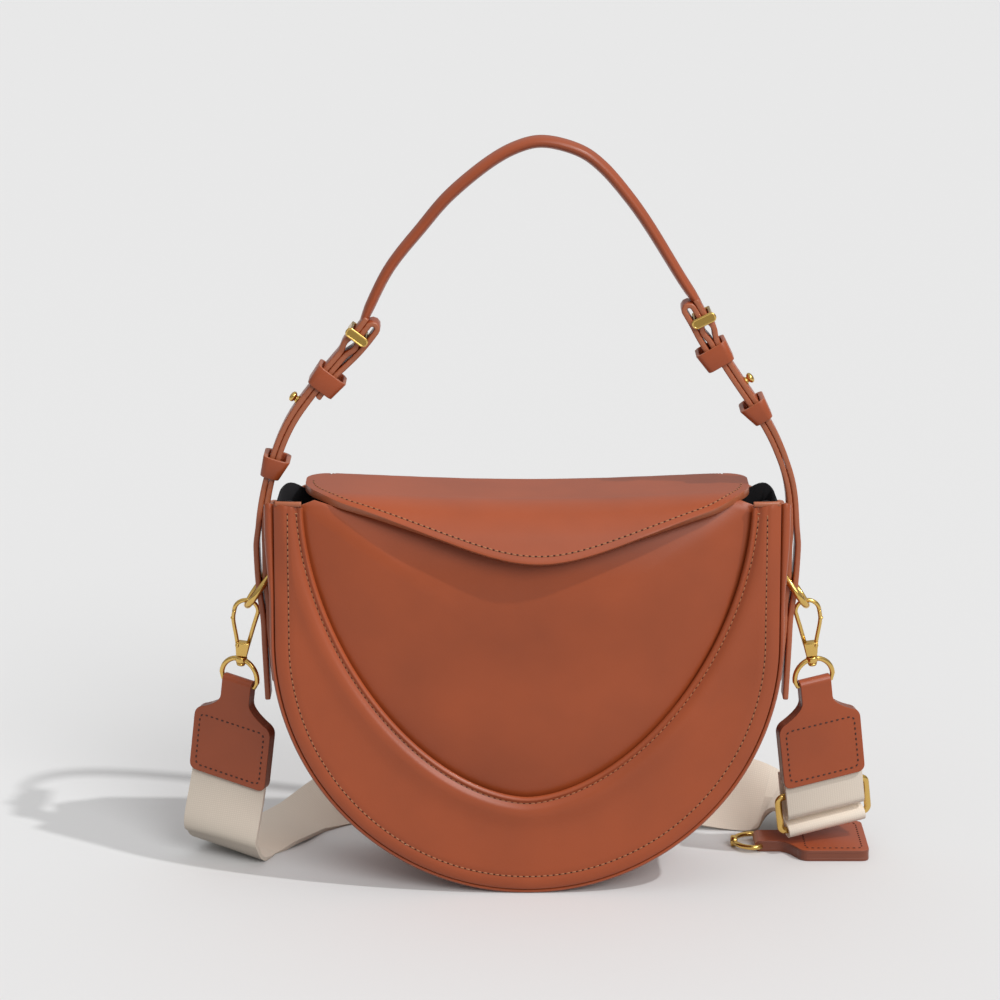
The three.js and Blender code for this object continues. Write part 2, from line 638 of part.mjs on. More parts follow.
function buildHook(side, end) {
  const inner = HOOK_INNER_HALF + HOOK_WIRE;
  const bowMiddle = HOOK_TOP - HOOK_INNER_HALF;
  const foot = BASE_WIDTH / 2 - HOOK_WIRE;
  const loop = [new Vector3(-foot, 0, BASE_TOP - 1)];
  const bowSteps = 10;
  for (let i = 0; i <= bowSteps; i += 1) {
    const angle = Math.PI - (Math.PI * 0.93 * i) / bowSteps;
    loop.push(new Vector3(inner * Math.cos(angle), 0, bowMiddle + inner * Math.sin(angle)));
  }
  const frame = wire(loop, HOOK_WIRE, FLAT);
  const base = new THREE.BoxGeometry(BASE_WIDTH, BASE_THICKNESS, BASE_LENGTH);
  base.translate(0, 0, BASE_TOP - BASE_LENGTH / 2);
  const pinZ = BASE_TOP - 1.5;
  const pinX = foot;
  const slotHalf = GATE_THICKNESS / 2 + CLEAR;
  const slot = new THREE.BoxGeometry(3.4, 2 * slotHalf, 5).translate(pinX + 0.3, 0, pinZ + 1);
  const pin = cylinder(GATE_PIN, BASE_THICKNESS + 1, 10).translate(pinX, 0, pinZ);
  const stemLength = HUB_LENGTH + 3 * CLEAR;
  const stem = cylinder(STEM, stemLength + 1, 12).rotateX(Math.PI / 2);
  stem.translate(0, 0, HUB_TOP - stemLength / 2 + 0.5);
  const head = cylinder(STEM + 1, 1.2, 12).rotateX(Math.PI / 2);
  head.translate(0, 0, HUB_TOP - HUB_LENGTH - CLEAR - 0.6);
  const hook = join(cut(join(frame, base), slot), pin, stem, head);
  add('snap_hook_' + side, mirrorX(hook, SIDES[side]), 'brass', end);

  const gateTop = bowMiddle - 0.4;
  const leverKnee = new Vector3(inner, 0, gateTop - 5);
  const lever = [new Vector3(inner, 0, gateTop), leverKnee, new Vector3(pinX, 0, pinZ)];
  const bar = wire(lever, GATE_THICKNESS / 2, FLAT);
  const knuckle = cylinder(1.2, GATE_THICKNESS, 12).translate(pinX, 0, pinZ);
  const hole = cylinder(GATE_PIN + 0.15, 3 * GATE_THICKNESS, 12).translate(pinX, 0, pinZ);
  add('gate_' + side, mirrorX(cut(join(bar, knuckle), hole), SIDES[side]), 'brass', end);
}

function buildEyeAndTab(side, end) {
  const path = dPath(EYE_HALF_WIDTH, EYE_DROP, (x, d) => new Vector3(x, 0, EYE_BAR + d));
  const ring = wire(path, WIRE, FLAT, true);
  const hub = cylinder(HUB_RADIUS, HUB_LENGTH, 16).rotateX(Math.PI / 2).translate(0, 0, HUB_MIDDLE);
  const bore = cylinder(STEM + CLEAR, 3 * HUB_LENGTH, 16).rotateX(Math.PI / 2).translate(0, 0, HUB_MIDDLE);
  add('swivel_eye_' + side, cut(join(ring, hub), bore), 'brass', end);

  const half = TAB_WIDTH / 2;
  const neck = TAB_NECK / 2;
  const shoulderTop = EYE_BAR - TAB_NECK_LENGTH;
  const shoulder = shoulderTop - TAB_SHOULDER;
  const outline = new THREE.Shape();
  outline.moveTo(-neck, EYE_BAR);
  outline.lineTo(-neck, shoulderTop + 2);
  outline.quadraticCurveTo(-neck, shoulderTop - 2, -half + TAB_CORNER, shoulder + 1.5);
  outline.quadraticCurveTo(-half, shoulder, -half, shoulder - TAB_CORNER);
  outline.lineTo(-half, TAB_BOTTOM + TAB_CORNER);
  outline.quadraticCurveTo(-half, TAB_BOTTOM, -half + TAB_CORNER, TAB_BOTTOM);
  outline.lineTo(half - TAB_CORNER, TAB_BOTTOM);
  outline.quadraticCurveTo(half, TAB_BOTTOM, half, TAB_BOTTOM + TAB_CORNER);
  outline.lineTo(half, shoulder - TAB_CORNER);
  outline.quadraticCurveTo(half, shoulder, half - TAB_CORNER, shoulder + 1.5);
  outline.quadraticCurveTo(neck, shoulderTop - 2, neck, shoulderTop + 2);
  outline.lineTo(neck, EYE_BAR);
  const body = plate(outline, -TAB_THICKNESS / 2, TAB_THICKNESS);
  const fold = cylinder(TAB_THICKNESS / 2, TAB_NECK, 14).rotateZ(Math.PI / 2).translate(0, 0, EYE_BAR);
  const hole = cylinder(WIRE + CLEAR, 2 * TAB_NECK, 14).rotateZ(Math.PI / 2).translate(0, 0, EYE_BAR);
  const pocket = new THREE.BoxGeometry(WEBBING_WIDTH + 2 * CLEAR, WEBBING + 2 * CLEAR, 2 * POCKET_DEPTH);
  pocket.translate(0, 0, TAB_BOTTOM);
  add('strap_tab_' + side, cut(join(body, fold), hole, pocket), 'tan_leather', end);
}

function buildStrapEnd(side) {
  const end = new THREE.Group();
  end.position.set(SIDES[side] * RING_TIP_X, 0, RING_TIP_Z);
  end.rotation.set(END_LEAN, -SIDES[side] * END_TILT, 0);
  bag.add(end);
  end.updateMatrixWorld();
  buildDRing(side);
  buildHook(side, end);
  const turned = new THREE.Group();
  turned.rotation.z = END_TURN[side];
  end.add(turned);
  turned.updateMatrixWorld();
  buildEyeAndTab(side, turned);
  return turned;
}

// Webbing laid as a strip: middle points with the direction of its width at each.
function strip(stations, steps) {
  const middles = new THREE.CatmullRomCurve3(stations.map(([p]) => new Vector3(...p)));
  const widths = new THREE.CatmullRomCurve3(stations.map(([, w]) => new Vector3(...w)));
  const columns = Array.from({ length: steps + 1 }, (_, i) => {
    const middle = middles.getPoint(i / steps);
    const width = widths.getPoint(i / steps).setLength(WEBBING_WIDTH / 2);
    return [-1, 0, 1].map((share) => middle.clone().addScaledVector(width, share));
  });
  return slab(columns, WEBBING / 2, -WEBBING / 2);
}

// The short loop under the right tab: down in front, round the adjuster ring's top bar and up behind.
function buildRightLoop(end) {
  const low = TAB_BOTTOM - LOOP_LENGTH;
  const high = TAB_BOTTOM + POCKET_DEPTH - CLEAR;
  const line = [high, TAB_BOTTOM, low].map((z) => new Vector2(0, z));
  const turnSteps = 8;
  for (let i = 1; i <= turnSteps; i += 1) {
    const angle = Math.PI + (Math.PI * i) / turnSteps;
    const swing = new Vector2(1 + Math.cos(angle), Math.sin(angle));
    line.push(swing.multiplyScalar(LOOP_RADIUS).add(new Vector2(0, low)));
  }
  line.push(new Vector2(2 * LOOP_RADIUS, low + LOOP_RETURN));
  const loop = plate(thickLine(line, WEBBING), -WEBBING_WIDTH / 2, WEBBING_WIDTH).rotateZ(Math.PI / 2);
  add('webbing_right_loop', loop, 'webbing', end);
}

// The adjuster ring hangs slack in the loop; returns the middle of its lower bar in the strap end's frame.
function buildAdjuster(end) {
  const loopInside = TAB_BOTTOM - LOOP_LENGTH - LOOP_RADIUS + WEBBING / 2;
  const top = loopInside + ADJUSTER_SLACK + ADJUSTER_BAR;
  const outer = new THREE.BoxGeometry(ADJUSTER_WIDTH, ADJUSTER_BAR, ADJUSTER_HEIGHT);
  const window = new THREE.BoxGeometry(ADJUSTER_WIDTH - 2 * ADJUSTER_BAR, 3 * ADJUSTER_BAR,
    ADJUSTER_HEIGHT - 2 * ADJUSTER_BAR);
  const ring = cut(outer, window).translate(0, LOOP_RADIUS, top - ADJUSTER_HEIGHT / 2);
  add('adjuster_ring', ring, 'brass', end);
  return new Vector3(0, LOOP_RADIUS, top - ADJUSTER_HEIGHT + ADJUSTER_BAR / 2);
}

function buildStrap() {
  const ends = Object.fromEntries(Object.keys(SIDES).map((side) => [side, buildStrapEnd(side)]));
  const dropLength = POCKET_DEPTH - CLEAR + DROP_LENGTH;
  const drop = new THREE.BoxGeometry(WEBBING_WIDTH, WEBBING, dropLength);
  drop.translate(0, 0, TAB_BOTTOM - DROP_LENGTH + dropLength / 2);
  add('webbing_left_end', drop, 'webbing', ends.left);
  buildRightLoop(ends.right);

  const bar = buildAdjuster(ends.right);
  const onBar = (y, z) => ends.right.localToWorld(bar.clone().add(new Vector3(0, y, z))).toArray();
  const [barX, barY] = onBar(0, 0);

  const floorTab = new THREE.Group();
  floorTab.rotation.set(-Math.PI / 2, -Math.PI / 2, 0);
  floorTab.position.set(barX + TAB_WIDTH / 2 + TAB_BOTTOM, barY + FLOOR_TAB_BACK, HUB_RADIUS);
  bag.add(floorTab);
  buildEyeAndTab('floor', floorTab);

  const foot = ends.left.localToWorld(new Vector3(0, 0, TAB_BOTTOM - DROP_LENGTH - CLEAR));
  const across = new Vector3(1, 0, 0).transformDirection(ends.left.matrixWorld).toArray();
  const down = new Vector3(0, 0, -1).transformDirection(ends.left.matrixWorld);
  const level = new Vector3(-1, 0, 0).transformDirection(ends.right.matrixWorld).toArray();
  const half = WEBBING_WIDTH / 2;
  const behind = DEPTH_FLOOR / 2 + RUN_BEHIND;
  const wrap = ADJUSTER_BAR / 2 + WEBBING / 2 + 2 * CLEAR;
  add('webbing_run', strip([
    [foot.toArray(), across],
    [foot.clone().addScaledVector(down, 4).toArray(), across],
    [[foot.x + 6, foot.y + 10, 5.5], [1, -0.1, -0.05]],
    [[foot.x + 22, foot.y + 22, 7], [1, -0.35, -0.3]],
    [[-0.78 * HALF_WIDTH, behind - 13, half * 0.78], [0.4, -0.6, -0.65]],
    [[-0.4 * HALF_WIDTH, behind - 3, half * 0.92], [0.1, -0.5, -0.8]],
    [[0, behind, half * 0.97], [0, -0.45, -0.85]],
    [[0.4 * HALF_WIDTH, behind - 2, half * 0.92], [-0.1, -0.5, -0.8]],
    [[0.74 * HALF_WIDTH, behind - 11, half * 0.83], [-0.5, -0.5, -0.6]],
    [[barX - 24, barY + 42, 12.8], [-1, -0.4, -0.35]],
    [onBar(RING_END_LENGTH + CLEAR + 5, wrap - 1), level],
    [onBar(RING_END_LENGTH + CLEAR, wrap - 1), level],
  ], 46), 'webbing');
  const ringEnd = strip([
    [onBar(RING_END_LENGTH, wrap - 1), level],
    [onBar(RING_END_LENGTH - 5, wrap - 1), level],
    [onBar(6, wrap), level],
    [onBar(-1, wrap), level],
    [onBar(-2 * wrap, 0), level],
    [onBar(0, -2 * wrap), level],
    [onBar(12, -2 * wrap), level],
  ], 24);
  add('webbing_ring_end', ringEnd, 'webbing');
}

buildBody();
buildFlap();
buildHandle();
buildStrap();

export default bag;
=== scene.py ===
"""Half-moon flap shoulder bag in tan leather, with a buckled handle and a clip-on webbing strap."""
import math

import bmesh
import bpy
from bpy.props import FloatProperty, FloatVectorProperty, PointerProperty
from mathutils import Matrix, Vector
from mathutils.geometry import intersect_point_line
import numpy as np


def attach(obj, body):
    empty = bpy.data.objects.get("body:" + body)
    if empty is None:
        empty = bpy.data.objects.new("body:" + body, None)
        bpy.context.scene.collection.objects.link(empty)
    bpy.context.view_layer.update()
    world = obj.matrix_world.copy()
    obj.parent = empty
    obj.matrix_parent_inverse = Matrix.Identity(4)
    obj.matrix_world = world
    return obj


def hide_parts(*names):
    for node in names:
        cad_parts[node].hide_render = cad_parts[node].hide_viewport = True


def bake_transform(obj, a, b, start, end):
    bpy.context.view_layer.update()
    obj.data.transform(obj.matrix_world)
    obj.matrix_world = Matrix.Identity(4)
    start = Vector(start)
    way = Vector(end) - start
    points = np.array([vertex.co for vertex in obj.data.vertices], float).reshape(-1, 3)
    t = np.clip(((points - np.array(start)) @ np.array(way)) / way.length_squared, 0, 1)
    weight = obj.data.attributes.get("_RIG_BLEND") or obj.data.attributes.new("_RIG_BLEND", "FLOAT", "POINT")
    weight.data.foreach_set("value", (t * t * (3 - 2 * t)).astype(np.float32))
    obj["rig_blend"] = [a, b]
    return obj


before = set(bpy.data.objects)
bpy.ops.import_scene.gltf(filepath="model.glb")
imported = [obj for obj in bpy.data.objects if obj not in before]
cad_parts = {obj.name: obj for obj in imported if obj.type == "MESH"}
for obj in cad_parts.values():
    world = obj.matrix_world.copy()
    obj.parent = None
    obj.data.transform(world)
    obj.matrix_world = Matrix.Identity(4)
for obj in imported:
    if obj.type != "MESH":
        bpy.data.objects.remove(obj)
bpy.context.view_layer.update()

bl_info = {
    "name": "Half-moon shoulder bag",
    "version": (1, 0, 0),
    "blender": (4, 5, 0),
    "location": "View3D > Sidebar > Bag",
    "description": "Dresses the packed shoulder bag in leather, brass and webbing",
    "category": "Object",
}

MM = 0.001
SIDES = {"left": -1, "right": 1}
FRONT = Vector((0, -1, 0))
BACK = Vector((0, 1, 0))
UP = Vector((0, 0, 1))
LEATHER = ("calf_leather", "edge_paint")
GOLD = ("gold_plated_zinc",)

# Body, in millimetres. Shares here and below are places along a line, from 0 to 1
HALF_WIDTH = 113
HEIGHT = 180
ARC_HEIGHT = 116
FOOT_CUT = 1.2
DEPTH_FLOOR = 70
DEPTH_MOUTH = 40
GUSSET_BULGE = 2.3
GUSSET_DIP = 4
GUSSET_SLOPE = 4.5
GUSSET_COLUMNS = 140
RIM_FROM = 150
FLANGE = 2.6
FLANGE_TOP = 4.6
FLANGE_FROM = 130
FLANGE_RISE = 40
FLANGE_FOOT = 2.2
FLANGE_EDGE = ((0, 2.6), (0.08, 1.5), (0.3, 0.6), (0.6, 0.5), (0.88, 1.3), (1, 3), (1, 5))
OUTER_ROW = 6.2
INNER_ROW = 3
BAND_SWELL = 1.2
BAND_TURN = 2.2
RIM_FALL = 0.9
RIM_TURN = 0.45
BAND_COLUMNS = 160
BAND_BETWEEN = 6
NEAR_OUTER = (0, 0.5, 1.4, 3, 4.6, 5.4, OUTER_ROW, 7, 8.2, 9.5)
NEAR_INNER = (9.5, 7.5, 5.8, 4.6, 3.8, INNER_ROW, 2.2, 1.5, 0.8, 0.3, 0)
# Middle, width and height of each swelling across the band
BAND_PAD = (7.5, 4.5, 1.3)
OUTER_PULL = (OUTER_ROW, 0.9, 0.35)
INNER_PULL = (INNER_ROW, 1, 0.9)
RIM_BEAD = (1.2, 0.9, 0.5)
BIB_UNDERLAP = 2
BIB_HALF_WIDTH = 100
BIB_TOP = 178
BIB_BOTTOM = 45.5
BIB_FULLNESS = 1.75
BIB_DOME = 7
BIB_LEAN = 6.5
BIB_LEAN_FROM = 95
BIB_LEAN_RISE = 60
BIB_LEAN_HALF = 94
NECKLINE_DIP = 9
NECKLINE_RISE = 4.2
MOUTH_SHARES = [1 - i / 20 for i in range(1, 40)]
BACK_DOME = 1.5
BACK_CORNER_X = 92
BACK_CORNER_SINK = 9
LINING_TOP = 174
LINING_GAP = 2.6
LINING_FLOOR = 4.6
LINING_ROUNDING = 0.25
LINING_CORNER = 1 / 3
LINING_LUMP = (105, 6)
LINING_BUNCH_FROM = 99
SEAM_GAP = 0.3

# Stitches: bold ones are thicker and shorter, and each thread lies a little flat
BOLD_THICK = 1.3
BOLD_LONG = 0.75
THREAD_FLAT = 0.8
# Size of the dark dots that paint the shade in each needle hole
NEEDLE_HOLE_SHADE = (0.45, 0.2, 0.6)

# Flap, with its two hinge points in metres
FLAP_HALF_WIDTH = 100
FLAP_LENGTH = 73.5
FLAP_TAPER = 0.46
FLAP_TIP_X = 5
FLAP_TIP_ROUND = 13
FLAP_CORNER = 20
FLAP_REAR_CORNER = 11
FLAP_STRAIGHT = 33
FLAP_BEND_RADIUS = 26
FLAP_BEND_ANGLE = math.radians(65)
FLAP_THICKNESS = 3.4
FLAP_REAR = 21
FLAP_FOLD_RADIUS = 3
FLAP_SEWN = 15
FLAP_SAG = 3.4
FLAP_ROW = 3.5
FLAP_SEWN_HALF = 78
FLAP_HINGE_START = (0, 0.0245, 0.1735)
FLAP_HINGE_END = (0, 0.02, 0.1795)
SNAP_RADIUS = 6
SNAP_STUD = [
    (0, -1.7), (1.7, -1.7), (2, -1.4), (2, -1), (5.5, -1), (SNAP_RADIUS, -0.5), (SNAP_RADIUS, 1.5), (0, 1.5),
]
SNAP_SOCKET = [
    (0, -2.4), (SNAP_RADIUS, -2.4), (SNAP_RADIUS, 0.5), (5.5, 1), (2.6, 1), (2.4, 0.2), (0, 0.2),
]
SNAP_SOCKET_Y = -28.7
SNAP_SOCKET_Z = 164.4
SNAP_LEAN = math.radians(13.6)

# Handle
STRAP_WIDTH = 12
STRAP = 2
STRAP_FULL = 2.5
STRAND_PITCH = 2.6
HINGE_HEIGHT = 151
STRAP_RISE = 2.5
TAIL_END = 83
ANCHOR_END = 92
SLIDER_WALL = 1.8
SLIDER_LENGTH = 4
SLIDER_BAR = 10.4
SLIDER_SHARE = 0.95
SLIDER_RIM = 0.55
SLIDER_RIM_CORNER = 1.7
STUD_PROFILE = [
    (0, 0), (1.9, 0), (1.9, 0.4), (1.4, 0.7), (1.4, 1.2), (2.1, 1.6), (2.5, 2.4), (2.2, 3.2), (1.3, 3.7),
    (0, 3.9),
]
KEEPER_WALL = 1.5
KEEPER_LENGTH = 8
KEEPER_PLAY = 0.5
KEEPER_CORNER = 1.8
KEEPER_STRETCH = 1.2
KEEPER_FLARES = {"lower": 0.45, "upper": 0.15}
ROLL_THICKNESS = 5.52
ROLL_WIDTH = 11
ROLL_NECK = 0.56
ROLL_NECK_STEPS = 5
ROLL_SHOULDER = 0.84
ROLL_SWELL_STEPS = 40
# Middle and width of the gap that opens between the strands below each slider, in shares
LENS = (0.9, 0.024)
LENS_OUTER = 1.3
LENS_INNER = 1.5
# Middle, width and height of the outer strand's swelling over the D-ring
RING_BULGE = (155, 7, 1.3)
RETURN_PARTS = 0.78
RETURN_EASE = 0.14
STRAND_ROUTES = {
    "left": [
        (119.6, 151), (119.2, 170), (114.3, 192.3), (105.8, 213.1), (91.5, 233), (81.3, 245.4), (75.4, 253),
        (71.6, 258),
    ],
    "right": [
        (119.6, 151), (120, 168), (117.8, 186), (111.3, 203.9), (102.9, 218.7), (93, 233.3), (84.6, 246.5),
        (77.6, 261.1), (74.5, 266.3),
    ],
}
KEEPER_SHARES = {"left": {"lower": 0.346, "upper": 0.736}, "right": {"lower": 0.561, "upper": 0.809}}
STUD_SHARES = {"left": 0.613, "right": 0.667}
RETURN_SHARES = {"left": 0.67, "right": 0.74}
ROLL_ARCH = [
    (-61.8, 281.4), (-46.7, 300.8), (-34.5, 315), (-17.9, 328.9), (-4.7, 336.4), (7.4, 338.8), (22.5, 334.9),
    (33.1, 327.4), (44.2, 314.6), (54, 300.8), (68.6, 277.2),
]


def linear(hex_code):
    """An sRGB hex colour as linear red, green, blue and alpha."""
    channels = [int(hex_code[i:i + 2], 16) / 255 for i in (1, 3, 5)]
    lit = [c / 12.92 if c <= 0.04045 else ((c + 0.055) / 1.055) ** 2.4 for c in channels]
    return (*lit, 1.0)


class BagSizes(bpy.types.PropertyGroup):
    """Sizes of the sewing and the trim."""

    leather: FloatProperty(
        name="Leather", description="Thickness of the panel leather", default=2 * MM, unit="LENGTH"
    )
    stitch_pitch: FloatProperty(
        name="Stitch pitch", description="Distance from stitch to stitch", default=2.7 * MM, unit="LENGTH"
    )
    stitch_length: FloatProperty(
        name="Stitch length", description="Length of one stitch", default=2 * MM, unit="LENGTH"
    )
    thread: FloatProperty(
        name="Thread", description="Thickness of the sewing thread", default=0.7 * MM, unit="LENGTH"
    )
    webbing: FloatProperty(
        name="Webbing", description="Thickness of the cotton webbing", default=1.8 * MM, unit="LENGTH"
    )


class BagColours(bpy.types.PropertyGroup):
    """Colours of the materials."""

    leather: FloatVectorProperty(
        name="Leather", description="Tan face leather", subtype="COLOR", size=4, default=linear("#ae5128")
    )
    edge: FloatVectorProperty(
        name="Edge paint", description="Painted edges", subtype="COLOR", size=4, default=linear("#b96a47")
    )
    thread: FloatVectorProperty(
        name="Thread", description="Sewing thread", subtype="COLOR", size=4, default=linear("#bd7f57")
    )
    metal: FloatVectorProperty(
        name="Metal", description="Gold plating", subtype="COLOR", size=4, default=linear("#dcb667")
    )
    webbing: FloatVectorProperty(
        name="Webbing", description="Ecru cotton", subtype="COLOR", size=4, default=linear("#f2e4d3")
    )
    lining: FloatVectorProperty(
        name="Lining", description="Black lining cloth", subtype="COLOR", size=4, default=linear("#17161a")
    )
    floor: FloatVectorProperty(
        name="Floor", description="Studio floor and wall", subtype="COLOR", size=4, default=linear("#e6e6e6")
    )


def add_node(tree, kind, links=(), **settings):
    """Adds one shader node. Settings name sockets or its own properties; links are (output, input name)."""
    made = tree.nodes.new(kind)
    for name, value in settings.items():
        socket = made.inputs.get(name.replace("_", " "))
        if socket is not None and not hasattr(made, name):
            socket.default_value = value
        else:
            setattr(made, name, value)
    for output, name in links:
        tree.links.new(output, made.inputs[name])
    return made


def new_material(name):
    """An empty node material with its Principled shader."""
    material = bpy.data.materials.new(name)
    material.use_nodes = True
    return material, material.node_tree, material.node_tree.nodes["Principled BSDF"]


def calf_leather(name, colour, roughness):
    """Smooth finished calf: a tight pebbled grain under a satin finish, with slow changes of tone."""
    grain_mm = 0.9
    tone_mm = 45
    material, tree, shader = new_material(name)
    place = add_node(tree, "ShaderNodeTexCoord").outputs["Object"]
    tone = add_node(tree, "ShaderNodeTexNoise", [(place, "Vector")], Scale=1 / (tone_mm * MM), Detail=3.0)
    dark = tuple(c * 0.82 for c in colour[:3]) + (1.0,)
    ramp = add_node(tree, "ShaderNodeValToRGB", [(tone.outputs["Fac"], "Fac")])
    ramp.color_ramp.elements[0].position = 0.3
    ramp.color_ramp.elements[0].color = dark
    ramp.color_ramp.elements[1].position = 0.7
    ramp.color_ramp.elements[1].color = tuple(colour)
    tree.links.new(ramp.outputs["Color"], shader.inputs["Base Color"])
    cells = add_node(tree, "ShaderNodeTexVoronoi", [(place, "Vector")], Scale=1 / (grain_mm * MM))
    pores = add_node(tree, "ShaderNodeTexNoise", [(place, "Vector")], Scale=2 / (grain_mm * MM), Detail=2.0)
    height = add_node(tree, "ShaderNodeMath", operation="ADD")
    tree.links.new(cells.outputs["Distance"], height.inputs[0])
    tree.links.new(pores.outputs["Fac"], height.inputs[1])
    bump = add_node(
        tree, "ShaderNodeBump", [(height.outputs[0], "Height")], Strength=0.25, Distance=0.06 * MM
    )
    tree.links.new(bump.outputs["Normal"], shader.inputs["Normal"])
    shader.inputs["Roughness"].default_value = roughness
    shader.inputs["IOR"].default_value = 1.45
    shader.inputs["Coat Weight"].default_value = 0.3
    shader.inputs["Coat Roughness"].default_value = 0.3
    return material


def gold_plate(name, colour, smoothest):
    """Polished zinc casting with pale gold plating: bright mirror with faint handling marks."""
    smear_mm = 2.5
    material, tree, shader = new_material(name)
    place = add_node(tree, "ShaderNodeTexCoord").outputs["Object"]
    smear = add_node(tree, "ShaderNodeTexNoise", [(place, "Vector")], Scale=1 / (smear_mm * MM), Detail=4.0)
    rough = add_node(tree, "ShaderNodeMapRange", [(smear.outputs["Fac"], "Value")])
    rough.inputs["To Min"].default_value = smoothest
    rough.inputs["To Max"].default_value = 2 * smoothest
    tree.links.new(rough.outputs["Result"], shader.inputs["Roughness"])
    shader.inputs["Base Color"].default_value = tuple(colour)
    shader.inputs["Metallic"].default_value = 1.0
    return material


def cotton_webbing(colour):
    """Plain woven cotton: crosswise ribs crossed by warp threads, drawn coarser than the real 0.6 mm."""
    rib_mm = 0.9
    warp_mm = 1.1
    material, tree, shader = new_material("cotton_webbing")
    flat = add_node(tree, "ShaderNodeUVMap", uv_map="weave").outputs["UV"]
    ribs = add_node(
        tree, "ShaderNodeTexWave", [(flat, "Vector")], bands_direction="Y", Scale=0.314 / (rib_mm * MM),
        Distortion=0.6, Detail=1.0
    )
    warps = add_node(
        tree, "ShaderNodeTexWave", [(flat, "Vector")], bands_direction="X", Scale=0.314 / (warp_mm * MM),
        Distortion=0.6, Detail=1.0
    )
    weave = add_node(tree, "ShaderNodeMath", operation="MULTIPLY")
    tree.links.new(ribs.outputs["Fac"], weave.inputs[0])
    tree.links.new(warps.outputs["Fac"], weave.inputs[1])
    ramp = add_node(tree, "ShaderNodeValToRGB", [(weave.outputs[0], "Fac")])
    ramp.color_ramp.elements[0].color = tuple(c * 0.93 for c in colour[:3]) + (1.0,)
    ramp.color_ramp.elements[1].color = tuple(colour)
    tree.links.new(ramp.outputs["Color"], shader.inputs["Base Color"])
    bump = add_node(tree, "ShaderNodeBump", [(weave.outputs[0], "Height")], Strength=0.3, Distance=0.12 * MM)
    tree.links.new(bump.outputs["Normal"], shader.inputs["Normal"])
    shader.inputs["Roughness"].default_value = 0.85
    shader.inputs["Sheen Weight"].default_value = 0.15
    return material


def matt_cloth(name, colour, thread_mm, roughness):
    """Fine matt cloth or thread: an uneven fuzzy surface with small changes of tone."""
    material, tree, shader = new_material(name)
    place = add_node(tree, "ShaderNodeTexCoord").outputs["Object"]
    fuzz = add_node(tree, "ShaderNodeTexNoise", [(place, "Vector")], Scale=1 / (thread_mm * MM), Detail=3.0)
    ramp = add_node(tree, "ShaderNodeValToRGB", [(fuzz.outputs["Fac"], "Fac")])
    ramp.color_ramp.elements[0].color = tuple(c * 0.7 for c in colour[:3]) + (1.0,)
    ramp.color_ramp.elements[1].color = tuple(colour)
    tree.links.new(ramp.outputs["Color"], shader.inputs["Base Color"])
    bump = add_node(
        tree, "ShaderNodeBump", [(fuzz.outputs["Fac"], "Height")], Strength=0.4, Distance=0.1 * MM
    )
    tree.links.new(bump.outputs["Normal"], shader.inputs["Normal"])
    shader.inputs["Roughness"].default_value = roughness
    return material


def material_for(key):
    """The finish with that name, made the first time it is asked for."""
    colours = bpy.context.scene.bag_colours
    makers = {
        "calf_leather": lambda: calf_leather("calf_leather", colours.leather, 0.42),
        "edge_paint": lambda: calf_leather("edge_paint", colours.edge, 0.36),
        # Tab edges: edge paint darker than the flap's, darkened partly as painted shade on the tab's sides
        "dark_edge_paint_and_shade": lambda: calf_leather("dark_edge_paint_and_shade", linear("#8a4b35"), 0.4),
        "sewing_thread": lambda: matt_cloth("sewing_thread", colours.thread, 0.4, 0.6),
        "dark_thread": lambda: matt_cloth("dark_thread", linear("#4f281c"), 0.4, 0.6),
        # Needle holes: dark brown dots as painted shade in the holes
        "needle_hole_shade": lambda: matt_cloth("needle_hole_shade", linear("#4f2618"), 0.4, 0.9),
        "lining_cloth": lambda: matt_cloth("lining_cloth", colours.lining, 0.5, 0.9),
        "cotton_webbing": lambda: cotton_webbing(colours.webbing),
        "gold_plated_zinc": lambda: gold_plate("gold_plated_zinc", colours.metal, 0.14),
        # The slider's sunk panel: darker gold as painted shade in its recess
        "panel_shade_plating": lambda: gold_plate("panel_shade_plating", linear("#a98a48"), 0.3),
    }
    return bpy.data.materials.get(key) or makers[key]()


def put_in_scene(name, data):
    """A new object in the scene."""
    made = bpy.data.objects.new(name, data)
    bpy.context.scene.collection.objects.link(made)
    return made


def finish_piece(bm, name, materials, body, nodes=(), smooth=True):
    """Scales a piece to metres and hands it to its body. A single finish covers every face."""
    if len(materials) == 1:
        for face in bm.faces:
            face.material_index = 0
    bmesh.ops.scale(bm, vec=(MM, MM, MM), verts=bm.verts)
    mesh = bpy.data.meshes.new(name)
    bm.to_mesh(mesh)
    bm.free()
    mesh.polygons.foreach_set("use_smooth", [smooth] * len(mesh.polygons))
    piece = put_in_scene(name, mesh)
    for key in materials:
        mesh.materials.append(material_for(key))
    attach(piece, body)
    if nodes:
        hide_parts(*nodes)
    return piece


def thicken(piece, thickness, offset=-1.0):
    """Gives a sheet its thickness, with a painted rim and softened edges."""
    solid = piece.modifiers.new("thickness", "SOLIDIFY")
    solid.thickness = thickness * MM
    solid.offset = offset
    solid.use_even_offset = True
    solid.material_offset_rim = 1
    soften(piece, min(0.35, thickness / 4))


def soften(piece, width, segments=2):
    """Rounds the hard edges of a piece."""
    bevel = piece.modifiers.new("soft_edges", "BEVEL")
    bevel.width = width * MM
    bevel.segments = segments
    bevel.limit_method = "ANGLE"
    bevel.angle_limit = math.radians(50)
    bevel.harden_normals = False


def surface(columns, rows, place, wrap=False):
    """A grid laid onto place(u, v), both from 0 to 1; wrap joins its first and last column."""
    bm = bmesh.new()
    bmesh.ops.create_grid(bm, x_segments=columns, y_segments=rows, size=0.5)
    for vert in bm.verts:
        vert.co = place(vert.co.x + 0.5, vert.co.y + 0.5)
    if wrap:
        bmesh.ops.remove_doubles(bm, verts=bm.verts, dist=0.001)
    return bm


